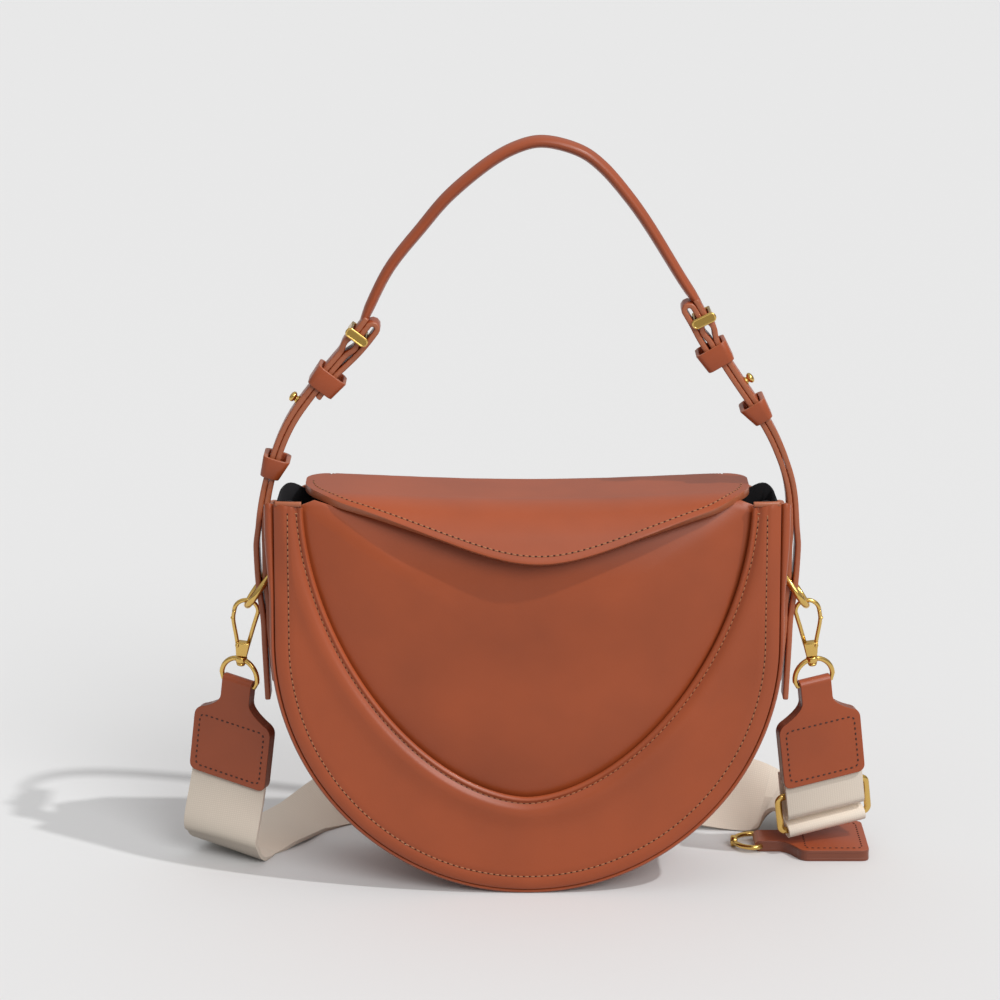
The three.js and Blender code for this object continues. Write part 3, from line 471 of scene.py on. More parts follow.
def face_towards(bm, direction):
    """Turns an open sheet so that its faces look along a direction."""
    bmesh.ops.recalc_face_normals(bm, faces=bm.faces)
    lean = sum((f.normal.dot(direction) * f.calc_area() for f in bm.faces), 0.0)
    if lean < 0:
        bmesh.ops.reverse_faces(bm, faces=bm.faces)


def distances(points):
    """How far along a line each of its points is."""
    lengths = [0.0]
    for before, after in zip(points, points[1:]):
        lengths.append(lengths[-1] + (after - before).length)
    return lengths


def even_steps(points, count):
    """Points at even steps along a line of points."""
    lengths = distances(points)
    steps = []
    k = 0
    for i in range(count + 1):
        target = lengths[-1] * i / count
        while k < len(points) - 2 and lengths[k + 1] < target:
            k += 1
        span = max(lengths[k + 1] - lengths[k], 1e-9)
        steps.append(points[k].lerp(points[k + 1], (target - lengths[k]) / span))
    return steps


def through(points, count):
    """A smooth line through given points, at even steps."""
    points = [Vector(p) for p in points]
    ends = [points[0], *points, points[-1]]
    fine = []
    for a, b, c, d in zip(ends, ends[1:], ends[2:], ends[3:]):
        for i in range(24):
            t = i / 24
            pull_in = (c - a) * 0.5
            pull_out = (d - b) * 0.5
            cubic = (b * 2 - c * 2 + pull_in + pull_out) * t ** 3
            square = (c * 3 - b * 3 - pull_in * 2 - pull_out) * t ** 2
            fine.append(cubic + square + pull_in * t + b)
    fine.append(points[-1])
    return even_steps(fine, count)


def tangents(points, closed=False):
    """Direction of a line at each of its points."""
    last = len(points) - 1
    found = []
    for i in range(len(points)):
        before = points[i - 1] if closed or i else points[i]
        after = points[(i + 1) % len(points)] if closed or i < last else points[i]
        found.append((after - before).normalized())
    return found


def frames_along(points, widths, closed=False):
    """A frame at each point: X across, Y through the thickness, Z along the line."""
    frames = []
    for i, (point, along) in enumerate(zip(points, tangents(points, closed))):
        wide = widths[i] if isinstance(widths, list) else widths
        across = (wide - along * wide.dot(along)).normalized()
        through_side = along.cross(across)
        turn = Matrix((across, through_side, along)).transposed().to_4x4()
        frames.append(Matrix.Translation(point) @ turn)
    return frames


def sweep(profile, frames, closed=False, uv_name=None):
    """Extrudes a flat profile from frame to frame. Its X is the distance across, for UVs and edges."""
    bm = bmesh.new()
    across = bm.verts.layers.float.new("across")
    along = bm.verts.layers.float.new("along")
    ring = []
    for x, y in profile:
        vert = bm.verts.new(frames[0] @ Vector((x, y, 0)))
        vert[across] = x
        ring.append(vert)
    edges = [bm.edges.new((ring[i - 1], ring[i])) for i in range(len(ring))]
    first = edges
    travelled = 0.0
    for before, after in zip(frames, frames[1:]):
        travelled += (after.translation - before.translation).length
        made = bmesh.ops.extrude_edge_only(bm, edges=edges)["geom"]
        verts = [g for g in made if isinstance(g, bmesh.types.BMVert)]
        fresh = set(verts)
        edges = [g for g in made if isinstance(g, bmesh.types.BMEdge) and set(g.verts) <= fresh]
        bmesh.ops.transform(bm, matrix=after @ before.inverted(), verts=verts)
        for vert in verts:
            vert[along] = travelled
    if closed:
        bmesh.ops.bridge_loops(bm, edges=first + edges)
    else:
        bmesh.ops.contextual_create(bm, geom=first)
        bmesh.ops.contextual_create(bm, geom=edges)
    bmesh.ops.recalc_face_normals(bm, faces=bm.faces)
    half = max(x for x, _ in profile)
    for face in bm.faces:
        if all(abs(v[across]) > half - 0.01 for v in face.verts):
            face.material_index = 1
    if uv_name:
        layer = bm.loops.layers.uv.new(uv_name)
        for face in bm.faces:
            for loop in face.loops:
                loop[layer].uv = (loop.vert[across] * MM, loop.vert[along] * MM)
    bm.verts.layers.float.remove(bm.verts.layers.float["across"])
    bm.verts.layers.float.remove(bm.verts.layers.float["along"])
    return bm


def flat_profile(width, thickness):
    """The cross-section of a flat strap."""
    w, t = width / 2, thickness / 2
    return [(-w, -t), (0, -t), (w, -t), (w, t), (0, t), (-w, t)]


def round_profile(radius, sides=12, squash=1.0):
    """The cross-section of a wire or a roll."""
    steps = [2 * math.pi * i / sides for i in range(sides)]
    return [(radius * math.cos(a), radius * squash * math.sin(a)) for a in steps]


def stitch_row(name, line, outward, body, bold=False):
    """A row of stitches along a line, with dark dots painted as needle-hole shade between them. Bold ones are
    dark, without dots.
    """
    sizes = bpy.context.scene.bag_sizes
    pitch = sizes.stitch_pitch / MM
    count = max(int(distances(line)[-1] / pitch), 1)
    spots = even_steps(line, 2 * count)
    directions = tangents(spots)
    thick, long = sizes.thread / MM / 2, sizes.stitch_length / MM / 2
    if bold:
        thick, long = BOLD_THICK * thick, BOLD_LONG * long
    bm = bmesh.new()
    for i in range(1, 2 * count, 2):
        out = outward(spots[i]) if callable(outward) else outward
        along = (directions[i] - out * directions[i].dot(out)).normalized()
        side = out.cross(along)
        turn = Matrix((side, out, along)).transposed().to_4x4()
        size = Matrix.Diagonal((thick, THREAD_FLAT * thick, long, 1))
        bmesh.ops.create_uvsphere(
            bm, u_segments=6, v_segments=5, radius=1, matrix=Matrix.Translation(spots[i]) @ turn @ size
        )
        if bold:
            continue
        # A dark dot at the stitch's other end: painted shade in its needle hole
        made = len(bm.faces)
        hole = Matrix.Diagonal((*NEEDLE_HOLE_SHADE, 1))
        bmesh.ops.create_uvsphere(
            bm, u_segments=6, v_segments=4, radius=1, matrix=Matrix.Translation(spots[i - 1]) @ turn @ hole
        )
        bm.faces.ensure_lookup_table()
        for face in bm.faces[made:]:
            face.material_index = 1
    return finish_piece(bm, name, ["dark_thread" if bold else "sewing_thread", "needle_hole_shade"], body)


def front_at(z):
    """How far forward the front panel is at a height."""
    return -DEPTH_FLOOR / 2 + (DEPTH_FLOOR - DEPTH_MOUTH) / 2 * z / HEIGHT


def body_outline(inset, count=BAND_COLUMNS):
    """The half-moon outline in X and Z, drawn in by an inset, from the left mouth corner to the right."""
    half = HALF_WIDTH - inset
    drop = ARC_HEIGHT - FLANGE_FOOT - inset
    points = [Vector((-half, 0, HEIGHT))]
    for i in range(97):
        angle = math.pi * i / 96
        points.append(Vector((-half * math.cos(angle), 0, ARC_HEIGHT - drop * math.sin(angle))))
    points.append(Vector((half, 0, HEIGHT)))
    return even_steps(points, count)


def bib_edge(inset, count=BAND_COLUMNS):
    """The bib's full-bellied edge in X and Z, from its left top corner to its right."""
    drop = BIB_TOP - BIB_BOTTOM - inset
    half = BIB_HALF_WIDTH - inset
    power = 2 / BIB_FULLNESS
    points = []
    for i in range(193):
        angle = math.pi * i / 192
        cosine = math.cos(angle)
        x = -math.copysign(half * abs(cosine) ** power, cosine)
        points.append(Vector((x, 0, BIB_TOP - drop * max(math.sin(angle), 0) ** power)))
    return even_steps(points, count)


def clamp(share):
    """A share held between 0 and 1."""
    return min(max(share, 0), 1)


def ease(share):
    """A share held between 0 and 1 that starts and ends gently."""
    held = clamp(share)
    return held * held * (3 - 2 * held)


def bump_at(distance, middle, width, height=1):
    """A smooth swelling along a distance."""
    return height * math.exp(-((distance - middle) / width) ** 2)


def band_face(x, z, from_outer, from_inner):
    """A point on the raised border band, drawn down along its two rows of stitches."""
    swell = BAND_SWELL * (1 - math.exp(-from_outer / BAND_TURN)) + bump_at(from_inner, *BAND_PAD)
    drawn = bump_at(from_outer, *OUTER_PULL) + bump_at(from_inner, *INNER_PULL)
    rim = RIM_FALL * math.exp(-from_inner / RIM_TURN) - bump_at(from_inner, *RIM_BEAD)
    return Vector((x, front_at(z) - swell + drawn + rim, z))


def nearest(point, line):
    """Distance from a point to the nearest place on a line of points."""
    i = min(range(len(line)), key=lambda k: (point - line[k]).length_squared)
    found = (point - line[i]).length
    for k in (i - 1, i):
        if 0 <= k < len(line) - 1:
            foot, share = intersect_point_line(point, line[k], line[k + 1])
            if 0 < share < 1:
                found = min(found, (point - foot).length)
    return found


def fan(ring, middle, rows, place):
    """A closed panel from a ring of points in to its middle, each spot put where place(spot, share) says."""
    def on_fan(u, v):
        return place(middle.lerp(ring[round(u * len(ring)) % len(ring)], v), v)

    return surface(len(ring), rows, on_fan, wrap=True)


def leather_panel(bm, name, outward, thickness, node):
    """A panel of the body, its face turned outwards and given its thickness."""
    face_towards(bm, outward)
    thicken(finish_piece(bm, name, LEATHER, "bag", [node]), thickness)


class BAG_OT_body(bpy.types.Operator):
    """Build the border band, bib, gusset, back panel and lining with their stitching"""

    bl_idname = "bag.body"
    bl_label = "Body panels"

    def execute(self, context):
        leather = context.scene.bag_sizes.leather / MM
        outer = body_outline(0)
        inner = bib_edge(0)
        self.band(leather, outer, inner)
        self.bib(leather)
        self.back(leather)
        self.gusset(leather)
        self.lining()
        self.lips()
        self.stitching(outer, inner)
        return {"FINISHED"}

    def band(self, leather, outer, inner):
        """The raised border band, with close rows of faces along its two edges."""
        outer_ways = tangents(outer)
        inner_ways = tangents(inner)
        outer_rows = len(NEAR_OUTER)
        rows = outer_rows + BAND_BETWEEN + len(NEAR_INNER) - 1

        def on_band(u, v):
            i = round(u * BAND_COLUMNS)
            row = round(v * rows)
            width = (outer[i] - inner[i]).length
            way = (inner[i] - outer[i]) / width
            slant_out = 1 / max(way.cross(outer_ways[i]).length, 0.5)
            slant_in = 1 / max(way.cross(inner_ways[i]).length, 0.5)
            squeeze = min(1, width / ((NEAR_INNER[0] + 0.1) * (slant_out + slant_in)))
            start = NEAR_OUTER[-1] * squeeze * slant_out
            end = width - NEAR_INNER[0] * squeeze * slant_in
            if row < outer_rows:
                along = NEAR_OUTER[row] * squeeze * slant_out
            elif row < outer_rows + BAND_BETWEEN:
                along = start + (end - start) * (row - outer_rows + 1) / (BAND_BETWEEN + 1)
            else:
                along = width - NEAR_INNER[row - outer_rows - BAND_BETWEEN] * squeeze * slant_in
            spot = outer[i] + way * along
            return band_face(spot.x, spot.z, nearest(spot, outer), nearest(spot, inner))

        bm = surface(BAND_COLUMNS, rows, on_band)
        leather_panel(bm, "border_band", FRONT, leather, "front_border_band")

    def bib(self, leather):
        """The domed bib, leaning out under the flap, its neckline dipped between raised corners."""
        ring = bib_edge(-BIB_UNDERLAP)
        for share in MOUTH_SHARES:
            dip = NECKLINE_DIP * math.cos(math.pi / 2 * share) - NECKLINE_RISE * share ** 4
            ring.append(Vector((BIB_HALF_WIDTH * share, 0, BIB_TOP - dip)))

        def on_bib(spot, v):
            dome = BIB_DOME * (1 - v ** 2.8)
            lean = ease((spot.z - BIB_LEAN_FROM) / BIB_LEAN_RISE) * max(1 - (spot.x / BIB_LEAN_HALF) ** 2, 0)
            return Vector((spot.x, front_at(spot.z) + leather + 0.5 - dome - BIB_LEAN * lean, spot.z))

        bm = fan(ring, Vector((0, 0, (BIB_TOP + BIB_BOTTOM) / 2)), 24, on_bib)
        leather_panel(bm, "bib_panel", FRONT, leather, "front_bib_panel")

    def back(self, leather):
        """The back panel, its top edge sunk under the flap and at its two corners."""
        ring = body_outline(0, 120)
        ring += [Vector((HALF_WIDTH * share, 0, HEIGHT)) for share in MOUTH_SHARES]

        def on_back(spot, v):
            rim = max(spot.z - RIM_FROM, 0) / (HEIGHT - RIM_FROM)
            corner = max(abs(spot.x) - BACK_CORNER_X, 0) / (HALF_WIDTH - BACK_CORNER_X)
            spot.z -= rim * (flap_sag(spot.x) + BACK_CORNER_SINK * corner ** 2)
            return Vector((spot.x, -front_at(spot.z) + BACK_DOME * (1 - v ** 2.5), spot.z))

        bm = fan(ring, Vector((0, 0, 100)), 16, on_back)
        leather_panel(bm, "back_panel_leather", BACK, leather, "back_panel")

    def gusset(self, leather):
        """The side and bottom strip, its edges turned out as flanges and its top ends dipped."""
        outline = body_outline(0, GUSSET_COLUMNS)
        turns = tangents(outline)
        folds = len(FLANGE_EDGE)
        rows = 2 * folds + 6

        def on_gusset(u, v):
            i = round(u * GUSSET_COLUMNS)
            p = outline[i]
            row = round(v * rows)
            out = Vector((turns[i].z, 0, -turns[i].x))
            flange = FLANGE + (FLANGE_TOP - FLANGE) * ease((p.z - FLANGE_FROM) / FLANGE_RISE)
            half = -front_at(p.z)
            fold = min(row, rows - row)
            if fold < folds:
                reach, depth = flange * FLANGE_EDGE[fold][0], FLANGE_EDGE[fold][1]
                y = math.copysign(half - depth, row - rows / 2)
            else:
                share = (row - rows / 2) / (rows / 2 - folds + 1)
                reach = GUSSET_BULGE + (flange - GUSSET_BULGE) * share ** 2
                y = share * (half - FLANGE_EDGE[-1][1])
            rim = max(p.z - RIM_FROM, 0) / (HEIGHT - RIM_FROM)
            sink = rim * (GUSSET_DIP * (1 - (y / half) ** 2) + GUSSET_SLOPE * (1 + y / half))
            return Vector((p.x + out.x * reach, y, max(p.z + out.z * reach - sink, 0)))

        bm = surface(GUSSET_COLUMNS, rows, on_gusset)
        bmesh.ops.recalc_face_normals(bm, faces=bm.faces)
        low = min(bm.faces, key=lambda f: f.calc_center_median().z)
        if low.normal.z > 0:
            bmesh.ops.reverse_faces(bm, faces=bm.faces)
        thicken(finish_piece(bm, "gusset_leather", LEATHER, "bag", ["gusset"]), leather)

    def lining(self):
        """A black cloth bag hung inside the leather, open at the top."""
        def on_lining(u, v):
            z = LINING_FLOOR + (LINING_TOP - LINING_FLOOR) * v ** 1.6
            drop = max(ARC_HEIGHT - z, 0) / (ARC_HEIGHT + FOOT_CUT - LINING_GAP)
            half_x = (HALF_WIDTH - LINING_GAP) * math.sqrt(max(1 - drop * drop, 0.02))
            half_y = -front_at(z) - LINING_GAP
            cosine, sine = math.cos(2 * math.pi * u), math.sin(2 * math.pi * u)
            x = math.copysign(abs(cosine) ** LINING_ROUNDING, cosine) * (half_x - LINING_CORNER)
            y = math.copysign(abs(sine) ** LINING_ROUNDING, sine) * (half_y - LINING_CORNER)
            rim = v ** 12
            lump = bump_at(abs(x), *LINING_LUMP) * (6 + 0.8 * math.sin(0.6 * y))
            bunch = 2.5 * clamp((abs(x) - LINING_BUNCH_FROM) / 7)
            return Vector((x + math.copysign(bunch * rim, x), y, z + lump * rim))

        bm = surface(96, 24, on_lining, wrap=True)
        rim = [e for e in bm.edges if e.is_boundary and max(v.co.z for v in e.verts) < LINING_FLOOR + 0.1]
        bmesh.ops.contextual_create(bm, geom=rim)
        bmesh.ops.recalc_face_normals(bm, faces=bm.faces)
        lining = finish_piece(bm, "black_lining", ["lining_cloth"], "bag", ["lining"])
        solid = lining.modifiers.new("thickness", "SOLIDIFY")
        solid.thickness = 1 * MM
        solid.offset = -1

    def lips(self):
        """The turned edge at the band's two top ends, with its own short row of stitches."""
        for side, sign in SIDES.items():
            ends = [Vector((sign * x, front_at(HEIGHT) - swell, HEIGHT - 0.4)) for x, swell in
                    ((HALF_WIDTH - 0.6, 0.2), (108, 0.9), (104, 1.2), (BIB_HALF_WIDTH + 0.6, 1.2))]
            line = through(ends, 16)
            bm = sweep(round_profile(1.3, 12, 0.8), frames_along(line, UP))
            finish_piece(bm, "band_lip_" + side, ["edge_paint"], "bag")
            row = [p + Vector((0, -0.2, -4.2)) for p in line[1:-1]]
            stitch_row("lip_stitches_" + side, row, FRONT, "bag")

    def stitching(self, outer, inner):
        """The two rows on the border band."""
        rows = {"outer": body_outline(OUTER_ROW, 400), "inner": bib_edge(-INNER_ROW, 400)}
        for edge, row in rows.items():
            line = [band_face(p.x, p.z, nearest(p, outer), nearest(p, inner)) for p in row[4:-4]]
            stitch_row("band_" + edge + "_stitches", line, FRONT, "bag")


def flap_sag(x):
    """How far the flap sinks over the mouth between its two ends."""
    return FLAP_SAG * max(math.cos(math.pi / 2 * x / HALF_WIDTH), 0) ** 1.5


def flap_point(distance, depth=0.0):
    """The flap's section: level over the mouth, bent, then down the front. Below 0 it folds down the back."""
    top = HEIGHT + SEAM_GAP + FLAP_THICKNESS
    if distance < 0:
        fold = min(-distance / FLAP_FOLD_RADIUS, math.pi / 2)
        down = max(-distance - FLAP_FOLD_RADIUS * math.pi / 2, 0)
        y = FLAP_REAR + FLAP_FOLD_RADIUS * math.sin(fold) + 0.08 * down
        return y, top - FLAP_FOLD_RADIUS * (1 - math.cos(fold)) - down, -fold
    bend = min(max((distance - FLAP_STRAIGHT) / FLAP_BEND_RADIUS, 0), FLAP_BEND_ANGLE)
    level = min(distance, FLAP_STRAIGHT)
    fall = max(distance - FLAP_STRAIGHT - FLAP_BEND_RADIUS * FLAP_BEND_ANGLE, 0)
    radius = FLAP_BEND_RADIUS - depth
    y = FLAP_REAR - level - radius * math.sin(bend) - fall * math.cos(bend)
    z = top - FLAP_BEND_RADIUS + radius * math.cos(bend) - fall * math.sin(bend)
    return y, z, bend


def flap_length(x, inset=0.0):
    """How long the flap is at a distance from its middle."""
    corner = FLAP_CORNER
    reach = FLAP_LENGTH - math.hypot(FLAP_TAPER * (x - FLAP_TIP_X), FLAP_TIP_ROUND) + FLAP_TIP_ROUND
    past = max(abs(x) - (FLAP_HALF_WIDTH - inset - corner), 0)
    return reach - inset - corner + math.sqrt(max(corner ** 2 - past ** 2, 0))


def flap_start(x):
    """Where the flap starts: set in at its rounded rear corners, sewn down the back between them."""
    straight = FLAP_HALF_WIDTH - FLAP_REAR_CORNER
    past = max(abs(x) - straight, 0)
    corner = max(abs(x) - FLAP_SEWN_HALF, 0) / (straight - FLAP_SEWN_HALF)
    sewn = FLAP_SEWN * math.sqrt(max(1 - corner ** 2, 0))
    return FLAP_REAR_CORNER - math.sqrt(max(FLAP_REAR_CORNER ** 2 - past ** 2, 0)) - sewn


def on_flap_face(x, distance):
    """A point on the flap's face, sunk over the mouth, and the way out of it."""
    y, z, bend = flap_point(distance)
    sag = flap_sag(x) * (1 - 0.6 * min(max(distance - FLAP_STRAIGHT, 0) / 30, 1))
    return Vector((x, y, z - sag)), Vector((0, -math.sin(bend), math.cos(bend)))


class BAG_OT_flap(bpy.types.Operator):
    """Build the flap with its stitched edge and the magnetic snap"""

    bl_idname = "bag.flap"
    bl_label = "Flap"

    def execute(self, context):
        def on_flap(u, v):
            x = FLAP_HALF_WIDTH * math.sin(math.pi / 2 * (2 * u - 1)) * 0.999
            start = flap_start(x)
            return on_flap_face(x, start + (flap_length(x) - start) * v)[0]

        bm = surface(110, 60, on_flap)
        face_towards(bm, Vector((0, -0.3, 1)))
        flap = finish_piece(
            bm, "flap_leather", LEATHER, "flap", ["flap_outer", "flap_lining"]
        )
        thicken(flap, FLAP_THICKNESS)
        flap.parent = None
        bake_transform(flap, "bag", "flap", start=FLAP_HINGE_START, end=FLAP_HINGE_END)
        row = [on_flap_face(FLAP_SEWN_HALF * (i / 60 - 1), 3 - FLAP_SEWN)[0] for i in range(121)]
        stitch_row("flap_back_stitches", row, BACK, "bag")

        line = []
        normals = []
        for i in range(241):
            x = (FLAP_HALF_WIDTH - FLAP_ROW) * math.sin(math.pi / 2 * (i / 120 - 1))
            spot, normal = on_flap_face(x, flap_length(x, FLAP_ROW))
            line.append(spot)
            normals.append(normal)

        def out_of_flap(point):
            return normals[min(range(len(line)), key=lambda i: (line[i] - point).length_squared)]

        stitch_row("flap_stitches", line, out_of_flap, "flap")
        self.snap()
        return {"FINISHED"}

    def snap(self):
        """The magnetic snap: a stud under the flap's tip and a socket on the bib."""
        spot, normal = on_flap_face(0, FLAP_LENGTH - SNAP_RADIUS - 0.5)
        stud = spun(SNAP_STUD)
        moved(stud, Matrix.Translation(spot - normal * 5) @ Matrix.Rotation(FLAP_BEND_ANGLE, 4, "X"))
        finish_piece(stud, "snap_stud", GOLD, "flap", ["magnet_snap_stud"])
        socket = spun(SNAP_SOCKET)
        turn = Matrix.Rotation(math.pi / 2 - SNAP_LEAN, 4, "X")
        moved(socket, Matrix.Translation((0, SNAP_SOCKET_Y, SNAP_SOCKET_Z)) @ turn)
        finish_piece(socket, "snap_socket", GOLD, "bag", ["magnet_snap_socket"])


def strand_route(side, count=72):
    """The line midway between a side's two strands, in X and Z, from the hinge up to the slider."""
    return through([(x, 0, z) for x, z in STRAND_ROUTES[side]], count)


def beside(line, distance):
    """A line in X and Z moved sideways, outwards for a positive distance."""
    return [p + Vector((t.z, 0, -t.x)) * distance for p, t in zip(line, tangents(line))]


def mirror_line(line, sign):
    """A line drawn for the right side, put on its own side."""
    return [Vector((sign * p.x, p.y, p.z)) for p in line]


def place_at(line, share):
    """The point and direction at a share of a line."""
    i = round(share * (len(line) - 1))
    return line[i], tangents(line)[i]


GUSSET_OUT = HALF_WIDTH + GUSSET_BULGE + 2 * SEAM_GAP + STRAP / 2
TAIL_X = GUSSET_OUT + STRAP + SEAM_GAP
STACK_HALF = STRAND_PITCH / 2 + STRAP / 2
RETURN_OFFSET = -(STACK_HALF + SEAM_GAP + SLIDER_WALL + SEAM_GAP + STRAP / 2)
HINGE_START = (0, 0, (HINGE_HEIGHT - 9) * MM)
HINGE_END = (0, 0, (HINGE_HEIGHT + 9) * MM)


def strap_piece(name, line, nodes, body="handle"):
    """A flat leather strap along a line, with painted edges."""
    bm = sweep(flat_profile(STRAP_WIDTH, STRAP_FULL), frames_along(line, BACK))
    piece = finish_piece(bm, name, LEATHER, body, nodes)
    soften(piece, 0.7, 3)
    return piece


def hinge_blend(piece):
    """Lets a strap bend where the handle swings over."""
    piece.parent = None
    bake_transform(piece, "bag", "handle", start=HINGE_START, end=HINGE_END)


class BAG_OT_handle(bpy.types.Operator):
    """Build the rolled handle and its straps"""

    bl_idname = "bag.handle"
    bl_label = "Handle"

    def execute(self, context):
        left, right = (self.straps(side, sign, strand_route(side)) for side, sign in SIDES.items())
        arch = [(x, 0, z) for x, z in ROLL_ARCH]
        frames = frames_along(through([left, *arch, right], 120), BACK)
        shaped = []
        for i, placed in enumerate(frames):
            from_end = min(i, len(frames) - 1 - i)
            neck = math.sin(math.pi / 2 * min(from_end / ROLL_NECK_STEPS, 1))
            swell = ROLL_NECK + (ROLL_SHOULDER - ROLL_NECK) * neck
            swell += (1 - ROLL_SHOULDER) * min(from_end / ROLL_SWELL_STEPS, 1)
            shaped.append(placed @ Matrix.Diagonal((1, swell, 1, 1)))
        bm = sweep(round_profile(ROLL_WIDTH / 2, 20, ROLL_THICKNESS / ROLL_WIDTH), shaped)
        finish_piece(bm, "rolled_handle", ["calf_leather"], "handle", ["handle_roll"])
        return {"FINISHED"}

    def straps(self, side, sign, route):
        """The outer strand with its free tail, and the inner strand sewn to the gusset."""
        pitch = STRAND_PITCH / 2
        _, top_way = place_at(route, 1)
        outer = []
        inner = []
        back = []
        for i, (p, out) in enumerate(zip(route, beside(route, 1))):
            out -= p
            share = i / (len(route) - 1)
            lens = bump_at(share, *LENS)
            outer.append(p + out * (pitch + LENS_OUTER * lens + bump_at(p.z, *RING_BULGE)))
            inner.append(p - out * (pitch + LENS_INNER * lens))
            apart = clamp((share - RETURN_PARTS) / RETURN_EASE)
            beside_inner = -pitch - STRAND_PITCH
            back.append(p + out * (beside_inner + (RETURN_OFFSET - beside_inner) * apart))
        rise = outer[-1] + top_way * STRAP_RISE
        tail = [(TAIL_X - 1, 0, TAIL_END), (TAIL_X, 0, 108), (TAIL_X + 0.5, 0, 122),
                (outer[0].x - 0.3, 0, 138)]
        line = through([*tail, *outer[2:-2:3], outer[-1], rise], 130)
        strap = strap_piece(
            "handle_strand_" + side, mirror_line(line, sign), ["handle_strap_" + side, "handle_tail_" + side]
        )
        hinge_blend(strap)

        radius = (-RETURN_OFFSET - pitch) / 2
        outward = Vector((top_way.z, 0, -top_way.x))
        middle = route[-1] - outward * (pitch + radius)
        turn = []
        for i in range(1, 8):
            angle = math.pi * i / 8
            turn.append(middle + outward * (radius * math.cos(angle)) + top_way * (radius * math.sin(angle)))
        fall = back[round(RETURN_SHARES[side] * (len(back) - 1)):][::-1]
        drop = (ARC_HEIGHT - ANCHOR_END) / (ARC_HEIGHT + FOOT_CUT + GUSSET_BULGE)
        sewn_x = GUSSET_OUT * math.cos(math.asin(drop)) + SEAM_GAP
        sewn = [(sewn_x, 0, ANCHOR_END), (GUSSET_OUT, 0, ARC_HEIGHT), (GUSSET_OUT + SEAM_GAP, 0, 128),
                (inner[0].x, 0, 139)]
        line = through([*sewn, *inner[2:-2:3], inner[-1], *turn, fall[0], *fall[4::4]], 170)
        anchor = strap_piece(
            "anchor_strand_" + side, mirror_line(line, sign), ["anchor_strap_" + side, "anchor_end_" + side]
        )
        hinge_blend(anchor)
        end = rise - top_way * 3.5
        return (sign * end.x, 0, end.z)


def round_box_path(half_x, half_y, corner, steps=6):
    """A closed rounded rectangle in X and Y."""
    path = []
    for sx, sy, start in ((1, 1, 0), (-1, 1, 1), (-1, -1, 2), (1, -1, 3)):
        for i in range(steps + 1):
            angle = math.pi / 2 * (start + i / steps)
            x = sx * (half_x - corner) + corner * math.cos(angle)
            y = sy * (half_y - corner) + corner * math.sin(angle)
            path.append(Vector((x, y, 0)))
    return path


def on_strap(side, share):
    """A frame on a side's strands: X outwards, Y across the strap, Z up along it."""
    spot, way = place_at(strand_route(side), share)
    sign = SIDES[side]
    along = Vector((sign * way.x, 0, way.z))
    out = Vector((sign * way.z, 0, -way.x))
    across = along.cross(out)
    return Matrix.Translation((sign * spot.x, 0, spot.z)) @ Matrix((out, across, along)).transposed().to_4x4()


class BAG_OT_keepers(bpy.types.Operator):
    """Build the leather loops that hold the strands together"""

    bl_idname = "bag.keepers"
    bl_label = "Keepers"

    def execute(self, context):
        inside = {"lower": -STACK_HALF, "upper": RETURN_OFFSET - STRAP / 2}
        for side, shares in KEEPER_SHARES.items():
            for level, share in shares.items():
                outer_x = STACK_HALF + KEEPER_PLAY + KEEPER_WALL / 2
                inner_x = inside[level] - KEEPER_PLAY - KEEPER_WALL / 2
                half_y = STRAP_WIDTH / 2 + KEEPER_PLAY + KEEPER_WALL / 2
                placed = on_strap(side, share) @ Matrix.Translation(((outer_x + inner_x) / 2, 0, 0))
                path = round_box_path((outer_x - inner_x) / 2, half_y, KEEPER_CORNER)
                frames = frames_along(path, UP, True)
                bm = sweep(flat_profile(KEEPER_LENGTH, KEEPER_WALL), frames, closed=True)
                for vert in bm.verts:
                    flare = 1 + KEEPER_FLARES[level] * max(vert.co.z / KEEPER_LENGTH + 0.5, 0)
                    vert.co.x = (vert.co.x - outer_x / 2) * flare + outer_x / 2
                    vert.co.y *= 1 + (flare - 1) / 3
                    vert.co.z *= KEEPER_STRETCH
                moved(bm, placed)
                name = "keeper_" + level + "_" + side
                piece = finish_piece(bm, "leather_" + name, LEATHER, name, [name])
                soften(piece, 0.4)
        return {"FINISHED"}


def spun(profile, steps=24):
    """A turned shape: radius and height pairs spun about Z."""
    bm = bmesh.new()
    line = [bm.verts.new((r, 0, h)) for r, h in profile]
    edges = [bm.edges.new(pair) for pair in zip(line, line[1:])]
    bmesh.ops.spin(
        bm, geom=line + edges, cent=(0, 0, 0), axis=(0, 0, 1), angle=2 * math.pi, steps=steps, use_merge=True
    )
    bmesh.ops.remove_doubles(bm, verts=bm.verts, dist=0.001)
    bmesh.ops.recalc_face_normals(bm, faces=bm.faces)
    return bm


def gather(parts):
    """Several bmeshes as one."""
    whole = bmesh.new()
    for part in parts:
        mesh = bpy.data.meshes.new("part")
        part.to_mesh(mesh)
        part.free()
        whole.from_mesh(mesh)
        bpy.data.meshes.remove(mesh)
    return whole


def box(size, middle=(0, 0, 0)):
    """A plain block, to be cut and softened."""
    bm = bmesh.new()
    bmesh.ops.create_cube(bm, size=1, matrix=Matrix.Translation(middle) @ Matrix.Diagonal((*size, 1)))
    return bm


def moved(bm, matrix):
    """The same shape, put in its place."""
    bmesh.ops.transform(bm, matrix=matrix, verts=bm.verts)
    return bm


